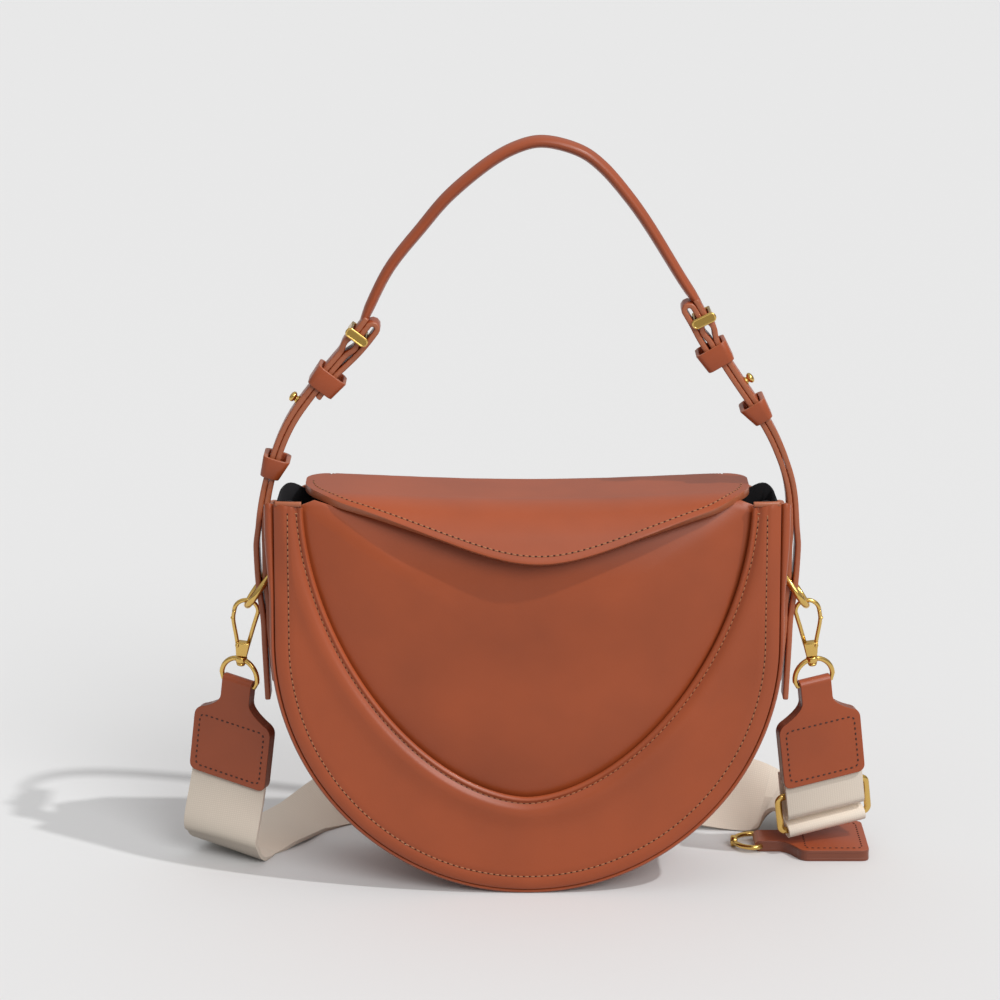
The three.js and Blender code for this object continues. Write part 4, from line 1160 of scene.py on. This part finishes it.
class BAG_OT_strap_metal(bpy.types.Operator):
    """Build the sliders and studs on the handle"""

    bl_idname = "bag.strap_metal"
    bl_label = "Sliders and studs"

    def execute(self, context):
        for side in SIDES:
            self.slider(side)
            self.stud(side)
        return {"FINISHED"}

    def slider(self, side):
        """A frame round the strands; its front is a bar with round ends and a sunk panel, in darker gold as
        painted shade.
        """
        size = (
            2 * (STACK_HALF + SEAM_GAP + SLIDER_WALL),
            2 * (STRAP_WIDTH / 2 + SEAM_GAP + SLIDER_WALL),
            SLIDER_LENGTH,
        )
        placed = on_strap(side, SLIDER_SHARE)
        bm = box(size)
        ends = [f for f in bm.faces if abs(f.normal.z) > 0.9]
        bmesh.ops.inset_individual(bm, faces=ends, thickness=SLIDER_WALL)
        rims = [e for f in ends for e in f.edges]
        bmesh.ops.delete(bm, geom=ends, context="FACES_ONLY")
        bmesh.ops.bridge_loops(bm, edges=rims)
        bmesh.ops.recalc_face_normals(bm, faces=bm.faces)
        moved(bm, placed)
        piece = finish_piece(bm, "slider_frame_" + side, GOLD, "handle", ["slider_" + side], False)
        soften(piece, 0.5, 3)

        front = -SIDES[side] * size[1] / 2
        bar = round_box_path(SLIDER_BAR / 2, SLIDER_LENGTH / 2 - 0.2, SLIDER_RIM_CORNER)
        path = [Vector((p.x, front, p.y)) for p in bar]
        bm = sweep(round_profile(SLIDER_RIM, 10), frames_along(path, BACK, True), closed=True)
        finish_piece(moved(bm, placed), "slider_rim_" + side, GOLD, "handle")
        # The sunk panel, its darker gold painted shade of the recess
        bm = box((SLIDER_BAR - 0.6, 0.8, SLIDER_LENGTH - 1), (0, front, 0))
        finish_piece(moved(bm, placed), "slider_panel_" + side, ["panel_shade_plating"], "handle", smooth=False)

    def stud(self, side):
        """A button stud with a waist and a domed head."""
        lay = Matrix.Translation((STACK_HALF + SEAM_GAP, 0, 0)) @ Matrix.Rotation(math.pi / 2, 4, "Y")
        bm = moved(spun(STUD_PROFILE), on_strap(side, STUD_SHARES[side]) @ lay)
        finish_piece(bm, "button_stud_" + side, GOLD, "handle", ["stud_" + side])


# Strap ends, each in a frame at its D-ring's tip with -Z down the hook
RING_BAR_X = 115.9
RING_BAR_Z = 143
RING_DEPTH = 20
RING_TILT = math.radians(55)
WIRE = 1.1
RING_WIRE = 1.5
END_TILT = math.radians(7)
END_LEAN = math.radians(8)
END_TURN = {"left": math.radians(-25), "right": math.radians(16)}
HOOK_INNER_HALF = 4.4
HOOK_INNER_LENGTH = 20
HOOK_WIRE = 1
BASE_WIDTH = 7
BASE_THICKNESS = 4
BASE_LENGTH = 7
BASE_TAPER = 0.72
BASE_ROUNDING = 0.7
PIN_PROFILE = [(0, -2.4), (0.7, -2.4), (0.9, -2.1), (0.9, 2.1), (0.7, 2.4), (0, 2.4)]
THUMB_PROFILE = [(0, -0.6), (0.9, -0.5), (1.1, 0), (0.9, 0.5), (0, 0.6)]
STEM = 1.2
HUB_RADIUS = 2.7
HUB_LENGTH = 3
EYE_HALF_WIDTH = 9.2
EYE_DROP = 12
TAB_WIDTH = 40
TAB_NECK = 15
TAB_NECK_LENGTH = 10
TAB_SHOULDER = 8
TAB_LENGTH = 50
TAB_CORNER = 4
TAB_PLY = 1.7
TAB_SIDE = 0.9
TAB_STITCH_INSET = 3.2
TAB_STITCH_CORNER = 2.5
TAB_PLY_MIDDLE = 1.85
WEBBING_WIDTH = 38
POCKET_DEPTH = 26
DROP_LENGTH = 21
LOOP_LENGTH = 14
LOOP_RADIUS = 4
LOOP_RETURN = 18
ADJUSTER_BAR = 2.4
ADJUSTER_WIDTH = 46
ADJUSTER_HEIGHT = 20
ADJUSTER_SLACK = 9
FLOOR_TAB_BACK = 6
WEBBING_MIDDLE = Vector((0, 69.5, 17.5))
WEBBING_MIDDLE_WIDTH = Vector((0, -0.45, -0.85))
# Where the webbing lies behind the bag: a middle point and its width's direction
LEFT_LIE = [
    ((-120.5, 40, 2), (0.88, -0.47, 0)), ((-107, 60, 1.6), (0.86, -0.5, 0)),
    ((-82, 73, 9.5), (0.6, -0.65, -0.3)), ((-45, 70, 17.5), (0.15, -0.55, -0.75)),
]
RIGHT_LIE = [((45, 69, 17.5), (-0.1, -0.5, -0.8)), ((84, 60, 16.5), (-0.5, -0.5, -0.6))]
RING_TIP_X = RING_BAR_X + RING_DEPTH * math.cos(RING_TILT)
RING_TIP_Z = RING_BAR_Z - RING_DEPTH * math.sin(RING_TILT)
HOOK_TOP = WIRE + SEAM_GAP
BASE_TOP = HOOK_TOP - HOOK_INNER_LENGTH
HUB_TOP = BASE_TOP - BASE_LENGTH - SEAM_GAP
HUB_MIDDLE = HUB_TOP - HUB_LENGTH / 2
EYE_BAR = HUB_MIDDLE - EYE_DROP
TAB_BOTTOM = EYE_BAR - TAB_LENGTH


def hook_frame(side):
    """The frame of a snap hook."""
    sign = SIDES[side]
    place = Matrix.Translation((sign * RING_TIP_X, 0, RING_TIP_Z))
    return place @ Matrix.Rotation(END_LEAN, 4, "X") @ Matrix.Rotation(-sign * END_TILT, 4, "Y")


def end_frame(side):
    """The frame of a strap end: its hook's, turned on the swivel."""
    if side == "floor":
        return floor_frame()
    return hook_frame(side) @ Matrix.Rotation(END_TURN[side], 4, "Z")


def bar_frame():
    """The middle of the adjuster ring's lower bar."""
    loop_inside = TAB_BOTTOM - LOOP_LENGTH - LOOP_RADIUS + 0.9
    top = loop_inside + ADJUSTER_SLACK + ADJUSTER_BAR
    return end_frame("right") @ Matrix.Translation((0, LOOP_RADIUS, top - ADJUSTER_HEIGHT + ADJUSTER_BAR / 2))


def floor_frame():
    """The frame of the tab that lies on the floor, its neck to the left."""
    bar = bar_frame().translation
    place = Matrix.Translation((bar.x + TAB_WIDTH / 2 + TAB_BOTTOM, bar.y + FLOOR_TAB_BACK, HUB_RADIUS))
    return place @ Matrix.Rotation(-math.pi / 2, 4, "X") @ Matrix.Rotation(-math.pi / 2, 4, "Y")


def d_path(half_width, depth, steps=20):
    """A D outline in X and Z: a straight bar, two legs and a round end."""
    legs = max(depth - half_width, 1)
    path = [Vector((share * half_width, 0, 0)) for share in (-0.9, -0.45, 0, 0.45, 0.9)]
    for i in range(steps + 1):
        angle = math.pi * i / steps
        path.append(Vector((half_width * math.cos(angle), 0, legs + (depth - legs) * math.sin(angle))))
    return path


class BAG_OT_clips(bpy.types.Operator):
    """Build the D-rings, snap hooks, gates and swivel eyes"""

    bl_idname = "bag.clips"
    bl_label = "Rings and hooks"

    def execute(self, context):
        for side in SIDES:
            self.d_ring(side)
            self.hook(side)
        for side in (*SIDES, "floor"):
            self.eye(side)
        return {"FINISHED"}

    def d_ring(self, side):
        """A D-ring of round wire, its bar held by the strands."""
        sign = SIDES[side]
        half = STRAP_WIDTH / 2 + 1 + WIRE
        out = Vector((sign * math.cos(RING_TILT), 0, -math.sin(RING_TILT)))
        bar = Vector((sign * RING_BAR_X, 0, RING_BAR_Z))
        path = [bar + out * p.z + Vector((0, p.x, 0)) for p in d_path(half, RING_DEPTH)]
        normal = out.cross(BACK).normalized()
        bm = sweep(round_profile(RING_WIRE, 14, 0.8), frames_along(path, normal, True), closed=True)
        finish_piece(bm, "ring_" + side, GOLD, "d_ring_" + side, ["d_ring_" + side])

    def hook(self, side):
        """A teardrop snap hook on a swivel stem, and its sprung gate on the outer leg."""
        sign = SIDES[side]
        flat = BACK
        placed = hook_frame(side) @ Matrix.Diagonal((sign, 1, 1, 1))
        inner = HOOK_INNER_HALF + HOOK_WIRE
        bow = HOOK_TOP - HOOK_INNER_HALF
        foot = BASE_WIDTH / 2 - HOOK_WIRE
        path = [Vector((-foot, 0, BASE_TOP - 1)), Vector((-(foot + inner) / 2, 0, (BASE_TOP + bow) / 2))]
        for i in range(21):
            angle = math.pi - math.pi * i / 20
            path.append(Vector((inner * math.cos(angle), 0, bow + inner * math.sin(angle))))
        frame_wire = sweep(round_profile(HOOK_WIRE, 12), frames_along(path, flat))
        base = box((BASE_WIDTH, BASE_THICKNESS, BASE_LENGTH), (0, 0, BASE_TOP - BASE_LENGTH / 2))
        for vert in base.verts:
            if vert.co.z < BASE_TOP - BASE_LENGTH / 2:
                vert.co.x *= BASE_TAPER
        bmesh.ops.bevel(
            base, geom=base.edges[:], offset=BASE_ROUNDING, offset_type="OFFSET", segments=3, profile=0.5,
            affect="EDGES", material=-1
        )
        pin_z = BASE_TOP - 1.5
        lying = Matrix.Translation((foot, 0, pin_z)) @ Matrix.Rotation(math.pi / 2, 4, "X")
        pin = moved(spun(PIN_PROFILE, 14), lying)
        stem_top = BASE_TOP - BASE_LENGTH + 1
        head = HUB_TOP - HUB_LENGTH - SEAM_GAP
        low = HUB_TOP - HUB_LENGTH - 1.5
        stem = spun([(0, stem_top), (STEM, stem_top), (STEM, head), (STEM + 1, head - 0.2), (STEM + 0.7, low),
                     (0, low - 0.3)], 18)
        whole = moved(gather([frame_wire, base, pin, stem]), placed)
        bmesh.ops.recalc_face_normals(whole, faces=whole.faces)
        finish_piece(whole, "snap_hook_body_" + side, GOLD, "hook_" + side, ["snap_hook_" + side])

        gate_top = bow - 0.2
        lever = [(inner, 0, gate_top), (inner, 0, gate_top - 5), (foot + 0.6, 0, pin_z + 3), (foot, 0, pin_z)]
        gate = sweep(round_profile(0.95 * HOOK_WIRE, 12), frames_along(through(lever, 16), flat))
        thumb = moved(spun(THUMB_PROFILE, 12), Matrix.Translation((inner + 0.4, 0, gate_top - 4)))
        whole = moved(gather([gate, thumb]), placed)
        bmesh.ops.recalc_face_normals(whole, faces=whole.faces)
        finish_piece(whole, "hook_gate_" + side, GOLD, "gate_" + side, ["gate_" + side])

    def eye(self, side):
        """A D-shaped eye hung on the hook's stem by a drilled hub."""
        path = [p + Vector((0, 0, EYE_BAR)) for p in d_path(EYE_HALF_WIDTH, EYE_DROP)]
        ring = sweep(round_profile(WIRE + 0.1, 12), frames_along(path, BACK, True), closed=True)
        low = HUB_MIDDLE - HUB_LENGTH / 2
        bore = STEM + SEAM_GAP
        high = low + HUB_LENGTH
        hub = spun([(bore, low), (HUB_RADIUS - 0.4, low), (HUB_RADIUS, low + 0.5), (HUB_RADIUS, high - 0.5),
                    (HUB_RADIUS - 0.4, high), (bore, high), (bore, low)])
        whole = moved(gather([ring, hub]), end_frame(side))
        body = "bag" if side == "floor" else "strap_end_" + side
        finish_piece(whole, "eye_ring_" + side, GOLD, body, ["swivel_eye_" + side])


def tab_outline(steps=6):
    """The house-shaped tab in X and Z, from the neck's right top round to its left top."""
    half = TAB_WIDTH / 2
    neck = TAB_NECK / 2
    shoulder_top = EYE_BAR - TAB_NECK_LENGTH
    shoulder = shoulder_top - TAB_SHOULDER
    turns = [
        ((neck, shoulder_top + 2), (neck, shoulder_top - 2), (half - TAB_CORNER, shoulder + 1.5)),
        ((half - TAB_CORNER, shoulder + 1.5), (half, shoulder), (half, shoulder - TAB_CORNER)),
        ((half, TAB_BOTTOM + TAB_CORNER), (half, TAB_BOTTOM), (half - TAB_CORNER, TAB_BOTTOM)),
    ]
    right = [Vector((neck, 0, EYE_BAR))]
    for a, b, c in turns:
        for i in range(steps + 1):
            t = i / steps
            x = a[0] * (1 - t) ** 2 + 2 * b[0] * t * (1 - t) + c[0] * t * t
            z = a[1] * (1 - t) ** 2 + 2 * b[1] * t * (1 - t) + c[1] * t * t
            right.append(Vector((x, 0, z)))
    clean = [p for i, p in enumerate(right) if i == 0 or (p - right[i - 1]).length > 0.01]
    left = [Vector((-p.x, 0, p.z)) for p in reversed(clean)]
    return [*clean, *left]


class BAG_OT_tabs(bpy.types.Operator):
    """Build the leather tabs at the strap's ends with their stitching"""

    bl_idname = "bag.tabs"
    bl_label = "Strap tabs"

    def execute(self, context):
        for side in (*SIDES, "floor"):
            self.tab(side)
        return {"FINISHED"}

    def tab(self, side):
        """Two plies sewn together below a neck that folds over the eye."""
        placed = end_frame(side)
        body = "bag" if side == "floor" else "strap_end_" + side
        outline = tab_outline()
        face_y = TAB_PLY_MIDDLE + TAB_PLY / 2
        bm = bmesh.new()
        rings = [[bm.verts.new((p.x, y, p.z)) for p in outline] for y in (-face_y, face_y)]
        front, _ = [bm.faces.new(ring) for ring in rings]
        neck = next(e for e in front.edges if set(e.verts) == {rings[0][0], rings[0][-1]})
        bmesh.ops.spin(
            bm, geom=[*neck.verts, neck], cent=(0, 0, EYE_BAR), axis=(-1, 0, 0), angle=math.pi, steps=14
        )
        bmesh.ops.remove_doubles(bm, verts=bm.verts, dist=0.01)
        bmesh.ops.recalc_face_normals(bm, faces=bm.faces)
        if front.normal.y > 0:
            bmesh.ops.reverse_faces(bm, faces=bm.faces)
        moved(bm, placed)
        piece = finish_piece(
            bm, "tab_leather_" + side, ["calf_leather", "dark_edge_paint_and_shade"], body, ["strap_tab_" + side], False
        )
        thicken(piece, TAB_PLY)

        flat = side == "floor"
        sewn = outline if flat else outline[:len(outline) // 2 - 1]
        sides = []
        for sign in (1,) if flat else (1, -1):
            path = [
                Vector((sign * (p.x + t.z * 0.5), 0, p.z - t.x * 0.5)) for p, t in zip(sewn, tangents(sewn))
            ]
            strip = flat_profile(2 * (TAB_PLY_MIDDLE - TAB_PLY / 2) + SEAM_GAP, TAB_SIDE)
            sides.append(sweep(strip, frames_along(path, BACK)))
        bm = moved(gather(sides), placed)
        # The strips between the plies take the darker edge colour, partly painted shade
        finish_piece(bm, "tab_sides_" + side, ["dark_edge_paint_and_shade"], body, smooth=False)

        half = TAB_WIDTH / 2 - TAB_STITCH_INSET
        low = TAB_BOTTOM + TAB_STITCH_INSET
        high = EYE_BAR - TAB_NECK_LENGTH - TAB_SHOULDER - TAB_STITCH_CORNER
        path = round_box_path(half, (high - low) / 2, TAB_STITCH_CORNER)
        line = [placed @ Vector((p.x, -face_y, p.y + (high + low) / 2)) for p in [*path, path[0]]]
        out = placed.to_3x3() @ FRONT
        stitch_row("tab_stitches_" + side, line, out, body, bold=True)


class BAG_OT_webbing(bpy.types.Operator):
    """Build the cotton webbing and the adjuster ring"""

    bl_idname = "bag.webbing"
    bl_label = "Webbing"

    def execute(self, context):
        thickness = context.scene.bag_sizes.webbing / MM
        self.left_run(thickness)
        self.right_run(thickness)
        self.right_loop(thickness)
        self.adjuster()
        return {"FINISHED"}

    def ribbon(self, name, stations, count, thickness, body, nodes):
        """Webbing through stations, each a point and its width's direction. Open where two runs meet."""
        line = through([p for p, _ in stations], count)
        middles = [Vector(p) for p, _ in stations]
        wide = [Vector(w).normalized() for _, w in stations]
        lengths = distances(middles)
        widths = []
        k = 0
        for i in range(count + 1):
            target = lengths[-1] * i / count
            while k < len(lengths) - 2 and lengths[k + 1] < target:
                k += 1
            share = (target - lengths[k]) / (lengths[k + 1] - lengths[k])
            widths.append(wide[k].lerp(wide[k + 1], ease(share)))
        frames = frames_along(line, widths)
        bm = sweep(flat_profile(WEBBING_WIDTH, thickness), frames, uv_name="weave")
        joins = [f for f in bm.faces if (f.calc_center_median() - WEBBING_MIDDLE).length < 0.1]
        bmesh.ops.delete(bm, geom=joins, context="FACES_ONLY")
        for vert in bm.verts:
            vert.co.z = max(vert.co.z, 0.1)
        piece = finish_piece(bm, name, ["cotton_webbing"], body, nodes)
        soften(piece, 0.5)
        return piece, distances(line)[-1] * MM

    def left_run(self, thickness):
        """From the left tab down, round onto the floor and away to the middle of the bag's back."""
        left = end_frame("left")
        across = left.to_3x3() @ Vector((1, 0, 0))
        foot = left @ Vector((0, 0, TAB_BOTTOM - DROP_LENGTH)) + Vector((-1, -10, -1))
        away = Vector((-across.y, across.x, 0)).normalized()
        radius = foot.z - 3.4
        stations = [
            (left @ Vector((0, 0, TAB_BOTTOM + POCKET_DEPTH)), across),
            (left @ Vector((0, 0, TAB_BOTTOM)), across),
            (foot, across),
        ]
        for angle in (math.pi / 6, math.pi / 3, math.pi / 2):
            down = Vector((0, 0, -radius * math.sin(angle)))
            stations.append((foot + away * (radius * (1 - math.cos(angle))) + down, across))
        stations += [
            (foot + away * (radius + 9) - Vector((0, 0, radius + 0.6)), across),
            *LEFT_LIE,
            (WEBBING_MIDDLE, WEBBING_MIDDLE_WIDTH),
        ]
        piece, length = self.ribbon(
            "webbing_left", stations, 170, thickness, "bag", ["webbing_left_end", "webbing_run"]
        )
        piece.parent = None
        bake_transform(piece, "bag", "strap_end_left", start=(-0.1, 0, 0), end=(-0.124, 0, 0))

    def right_run(self, thickness):
        """From the middle of the bag's back to the adjuster ring, round its lower bar."""
        bar = bar_frame()
        level = bar.to_3x3() @ Vector((-1, 0, 0))
        wrap = ADJUSTER_BAR / 2 + thickness / 2 + 2 * SEAM_GAP
        spot = bar.translation
        stations = [
            (WEBBING_MIDDLE, WEBBING_MIDDLE_WIDTH),
            *RIGHT_LIE,
            (Vector((spot.x - 22, spot.y + 36, 12.8)), (-1, -0.4, -0.35)),
            (bar @ Vector((0, 20, wrap - 1)), level),
            (bar @ Vector((0, 7, wrap)), level),
        ]
        for i in range(7):
            angle = math.pi * i / 6
            wound = Vector((0, -1.25 * wrap * math.sin(angle), wrap * math.cos(angle)))
            stations.append((bar @ wound, level))
        stations.append((bar @ Vector((0, 12, 0.4 - wrap)), level))
        piece, length = self.ribbon("webbing_right", stations, 170, thickness, "bag", ["webbing_ring_end"])
        piece.parent = None
        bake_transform(piece, "bag", "strap_end_right", start=(0.085, 0, 0), end=(0.112, 0, 0))

    def right_loop(self, thickness):
        """From the right tab round the adjuster ring's top bar and up behind."""
        placed = end_frame("right")
        across = placed.to_3x3() @ Vector((1, 0, 0))
        low = TAB_BOTTOM - LOOP_LENGTH
        stations = [
            (placed @ Vector((0, 0, TAB_BOTTOM + POCKET_DEPTH)), across),
            (placed @ Vector((0, 0, TAB_BOTTOM)), across),
            (placed @ Vector((0, 0, low)), across),
        ]
        for i in range(1, 9):
            angle = math.pi + math.pi * i / 8
            y = LOOP_RADIUS + LOOP_RADIUS * math.cos(angle)
            stations.append((placed @ Vector((0, y, low + LOOP_RADIUS * math.sin(angle))), across))
        stations.append((placed @ Vector((0, 2 * LOOP_RADIUS, low + LOOP_RETURN)), across))
        piece, length = self.ribbon(
            "webbing_loop", stations, 70, thickness, "strap_end_right", ["webbing_right_loop"]
        )

    def adjuster(self):
        """A rectangular ring of flat bar with rounded corners."""
        placed = bar_frame() @ Matrix.Translation((0, 0, ADJUSTER_HEIGHT / 2 - ADJUSTER_BAR / 2))
        half_x = (ADJUSTER_WIDTH - ADJUSTER_BAR) / 2
        half_z = (ADJUSTER_HEIGHT - ADJUSTER_BAR) / 2
        path = [placed @ Vector((p.x, 0, p.y)) for p in round_box_path(half_x, half_z, 2.5)]
        flat = placed.to_3x3() @ BACK
        bm = sweep(round_profile(ADJUSTER_BAR / 2, 14, 1.4), frames_along(path, flat, True), closed=True)
        finish_piece(bm, "adjuster_frame", GOLD, "strap_end_right", ["adjuster_ring"])


# Stage: a plain floor out to the horizon, a crisp key and a soft fill from the right front
FLOOR_SIZE = 12
FLOOR_LIGHTING = "#909090"
SUNS = {"key": ((-0.66, 0.38, -1), 1.12, 1.5), "fill": ((-0.45, 0.8, -0.6), 1.15, 30)}
SKY_LOW = "#a0a0a0"
SKY_HIGH = "#ffffff"
SKY_STRENGTH = 0.7
CAMERA_AIM = Vector((-12.2 * MM, 0, 176 * MM))
CAMERA_DISTANCE = 1.5
CAMERA_ELEVATION = math.radians(15)
CAMERA_LENS = 119.7
CAMERA_SENSOR = 36


class BAG_OT_stage(bpy.types.Operator):
    """Build the studio floor and sky, the lights and the camera"""

    bl_idname = "bag.stage"
    bl_label = "Stage"

    def execute(self, context):
        self.floor(context.scene.bag_colours.floor)
        for name, (way, energy, spread) in SUNS.items():
            sun = bpy.data.lights.new(name, "SUN")
            sun.energy = energy
            sun.angle = math.radians(spread)
            put_in_scene(name, sun).rotation_euler = Vector(way).to_track_quat("-Z", "Y").to_euler()
        context.scene.world = self.sky()
        context.scene.view_settings.view_transform = "Standard"
        context.scene.camera = self.camera()
        return {"FINISHED"}

    def floor(self, colour):
        """Painted studio floor: pale where it is seen, darker where it throws light back on the bag."""
        material, tree, shader = new_material("painted_studio_floor")
        rays = add_node(tree, "ShaderNodeLightPath").outputs
        seen = rays["Is Camera Ray"]
        for ray in ("Is Glossy Ray", "Is Transmission Ray"):
            either = add_node(tree, "ShaderNodeMath", operation="MAXIMUM")
            tree.links.new(seen, either.inputs[0])
            tree.links.new(rays[ray], either.inputs[1])
            seen = either.outputs[0]
        tone = add_node(tree, "ShaderNodeValToRGB", [(seen, "Fac")])
        tone.color_ramp.elements[0].color = linear(FLOOR_LIGHTING)
        tone.color_ramp.elements[1].color = tuple(colour)
        tree.links.new(tone.outputs["Color"], shader.inputs["Base Color"])
        shader.inputs["Roughness"].default_value = 0.9
        shader.inputs["Specular IOR Level"].default_value = 0.1
        bm = bmesh.new()
        bmesh.ops.create_grid(bm, x_segments=1, y_segments=1, size=FLOOR_SIZE)
        mesh = bpy.data.meshes.new("studio_floor")
        bm.to_mesh(mesh)
        bm.free()
        mesh.materials.append(material)
        put_in_scene("studio_floor", mesh)

    def sky(self):
        """Even light from all round, brighter from above."""
        world = bpy.data.worlds.new("studio")
        world.use_nodes = True
        tree = world.node_tree
        place = add_node(tree, "ShaderNodeTexCoord").outputs["Generated"]
        height = add_node(tree, "ShaderNodeSeparateXYZ", [(place, "Vector")]).outputs["Z"]
        dome = add_node(tree, "ShaderNodeValToRGB", [(height, "Fac")])
        dome.color_ramp.elements[0].color = linear(SKY_LOW)
        dome.color_ramp.elements[1].color = linear(SKY_HIGH)
        light = tree.nodes["Background"].inputs
        tree.links.new(dome.outputs["Color"], light["Color"])
        light["Strength"].default_value = SKY_STRENGTH
        return world

    def camera(self):
        """A long lens a little above the bag, as the photograph has it."""
        lens = bpy.data.cameras.new("photo_angle")
        lens.sensor_width = CAMERA_SENSOR
        lens.lens = CAMERA_LENS
        camera = put_in_scene("photo_angle", lens)
        away = Vector((0, -math.cos(CAMERA_ELEVATION), math.sin(CAMERA_ELEVATION)))
        camera.location = CAMERA_AIM + away * CAMERA_DISTANCE
        camera.rotation_euler = (math.pi / 2 - CAMERA_ELEVATION, 0, 0)
        return camera


class BAG_PT_panel(bpy.types.Panel):
    """The bag's pieces, sizes and colours"""

    bl_idname = "BAG_PT_panel"
    bl_label = "Shoulder bag"
    bl_space_type = "VIEW_3D"
    bl_region_type = "UI"
    bl_category = "Bag"

    def draw(self, context):
        for operator in OPERATORS:
            self.layout.operator(operator.bl_idname)
        for group in (context.scene.bag_sizes, context.scene.bag_colours):
            for name in group.__annotations__:
                self.layout.prop(group, name)


OPERATORS = (
    BAG_OT_stage, BAG_OT_webbing, BAG_OT_body, BAG_OT_flap, BAG_OT_handle, BAG_OT_keepers,
    BAG_OT_strap_metal, BAG_OT_clips, BAG_OT_tabs,
)
CLASSES = (BagSizes, BagColours, *OPERATORS, BAG_PT_panel)


def register():
    """Adds the classes and the scene's properties."""
    for cls in CLASSES:
        bpy.utils.register_class(cls)
    bpy.types.Scene.bag_sizes = PointerProperty(type=BagSizes)
    bpy.types.Scene.bag_colours = PointerProperty(type=BagColours)


def unregister():
    """Takes them away again."""
    del bpy.types.Scene.bag_colours
    del bpy.types.Scene.bag_sizes
    for cls in reversed(CLASSES):
        bpy.utils.unregister_class(cls)


def main():
    """Builds the bag piece by piece."""
    register()
    bpy.ops.bag.stage()
    bpy.ops.bag.webbing()
    bpy.ops.bag.body()
    bpy.ops.bag.flap()
    bpy.ops.bag.handle()
    bpy.ops.bag.keepers()
    bpy.ops.bag.strap_metal()
    bpy.ops.bag.clips()
    bpy.ops.bag.tabs()


if __name__ == "__main__":
    main()
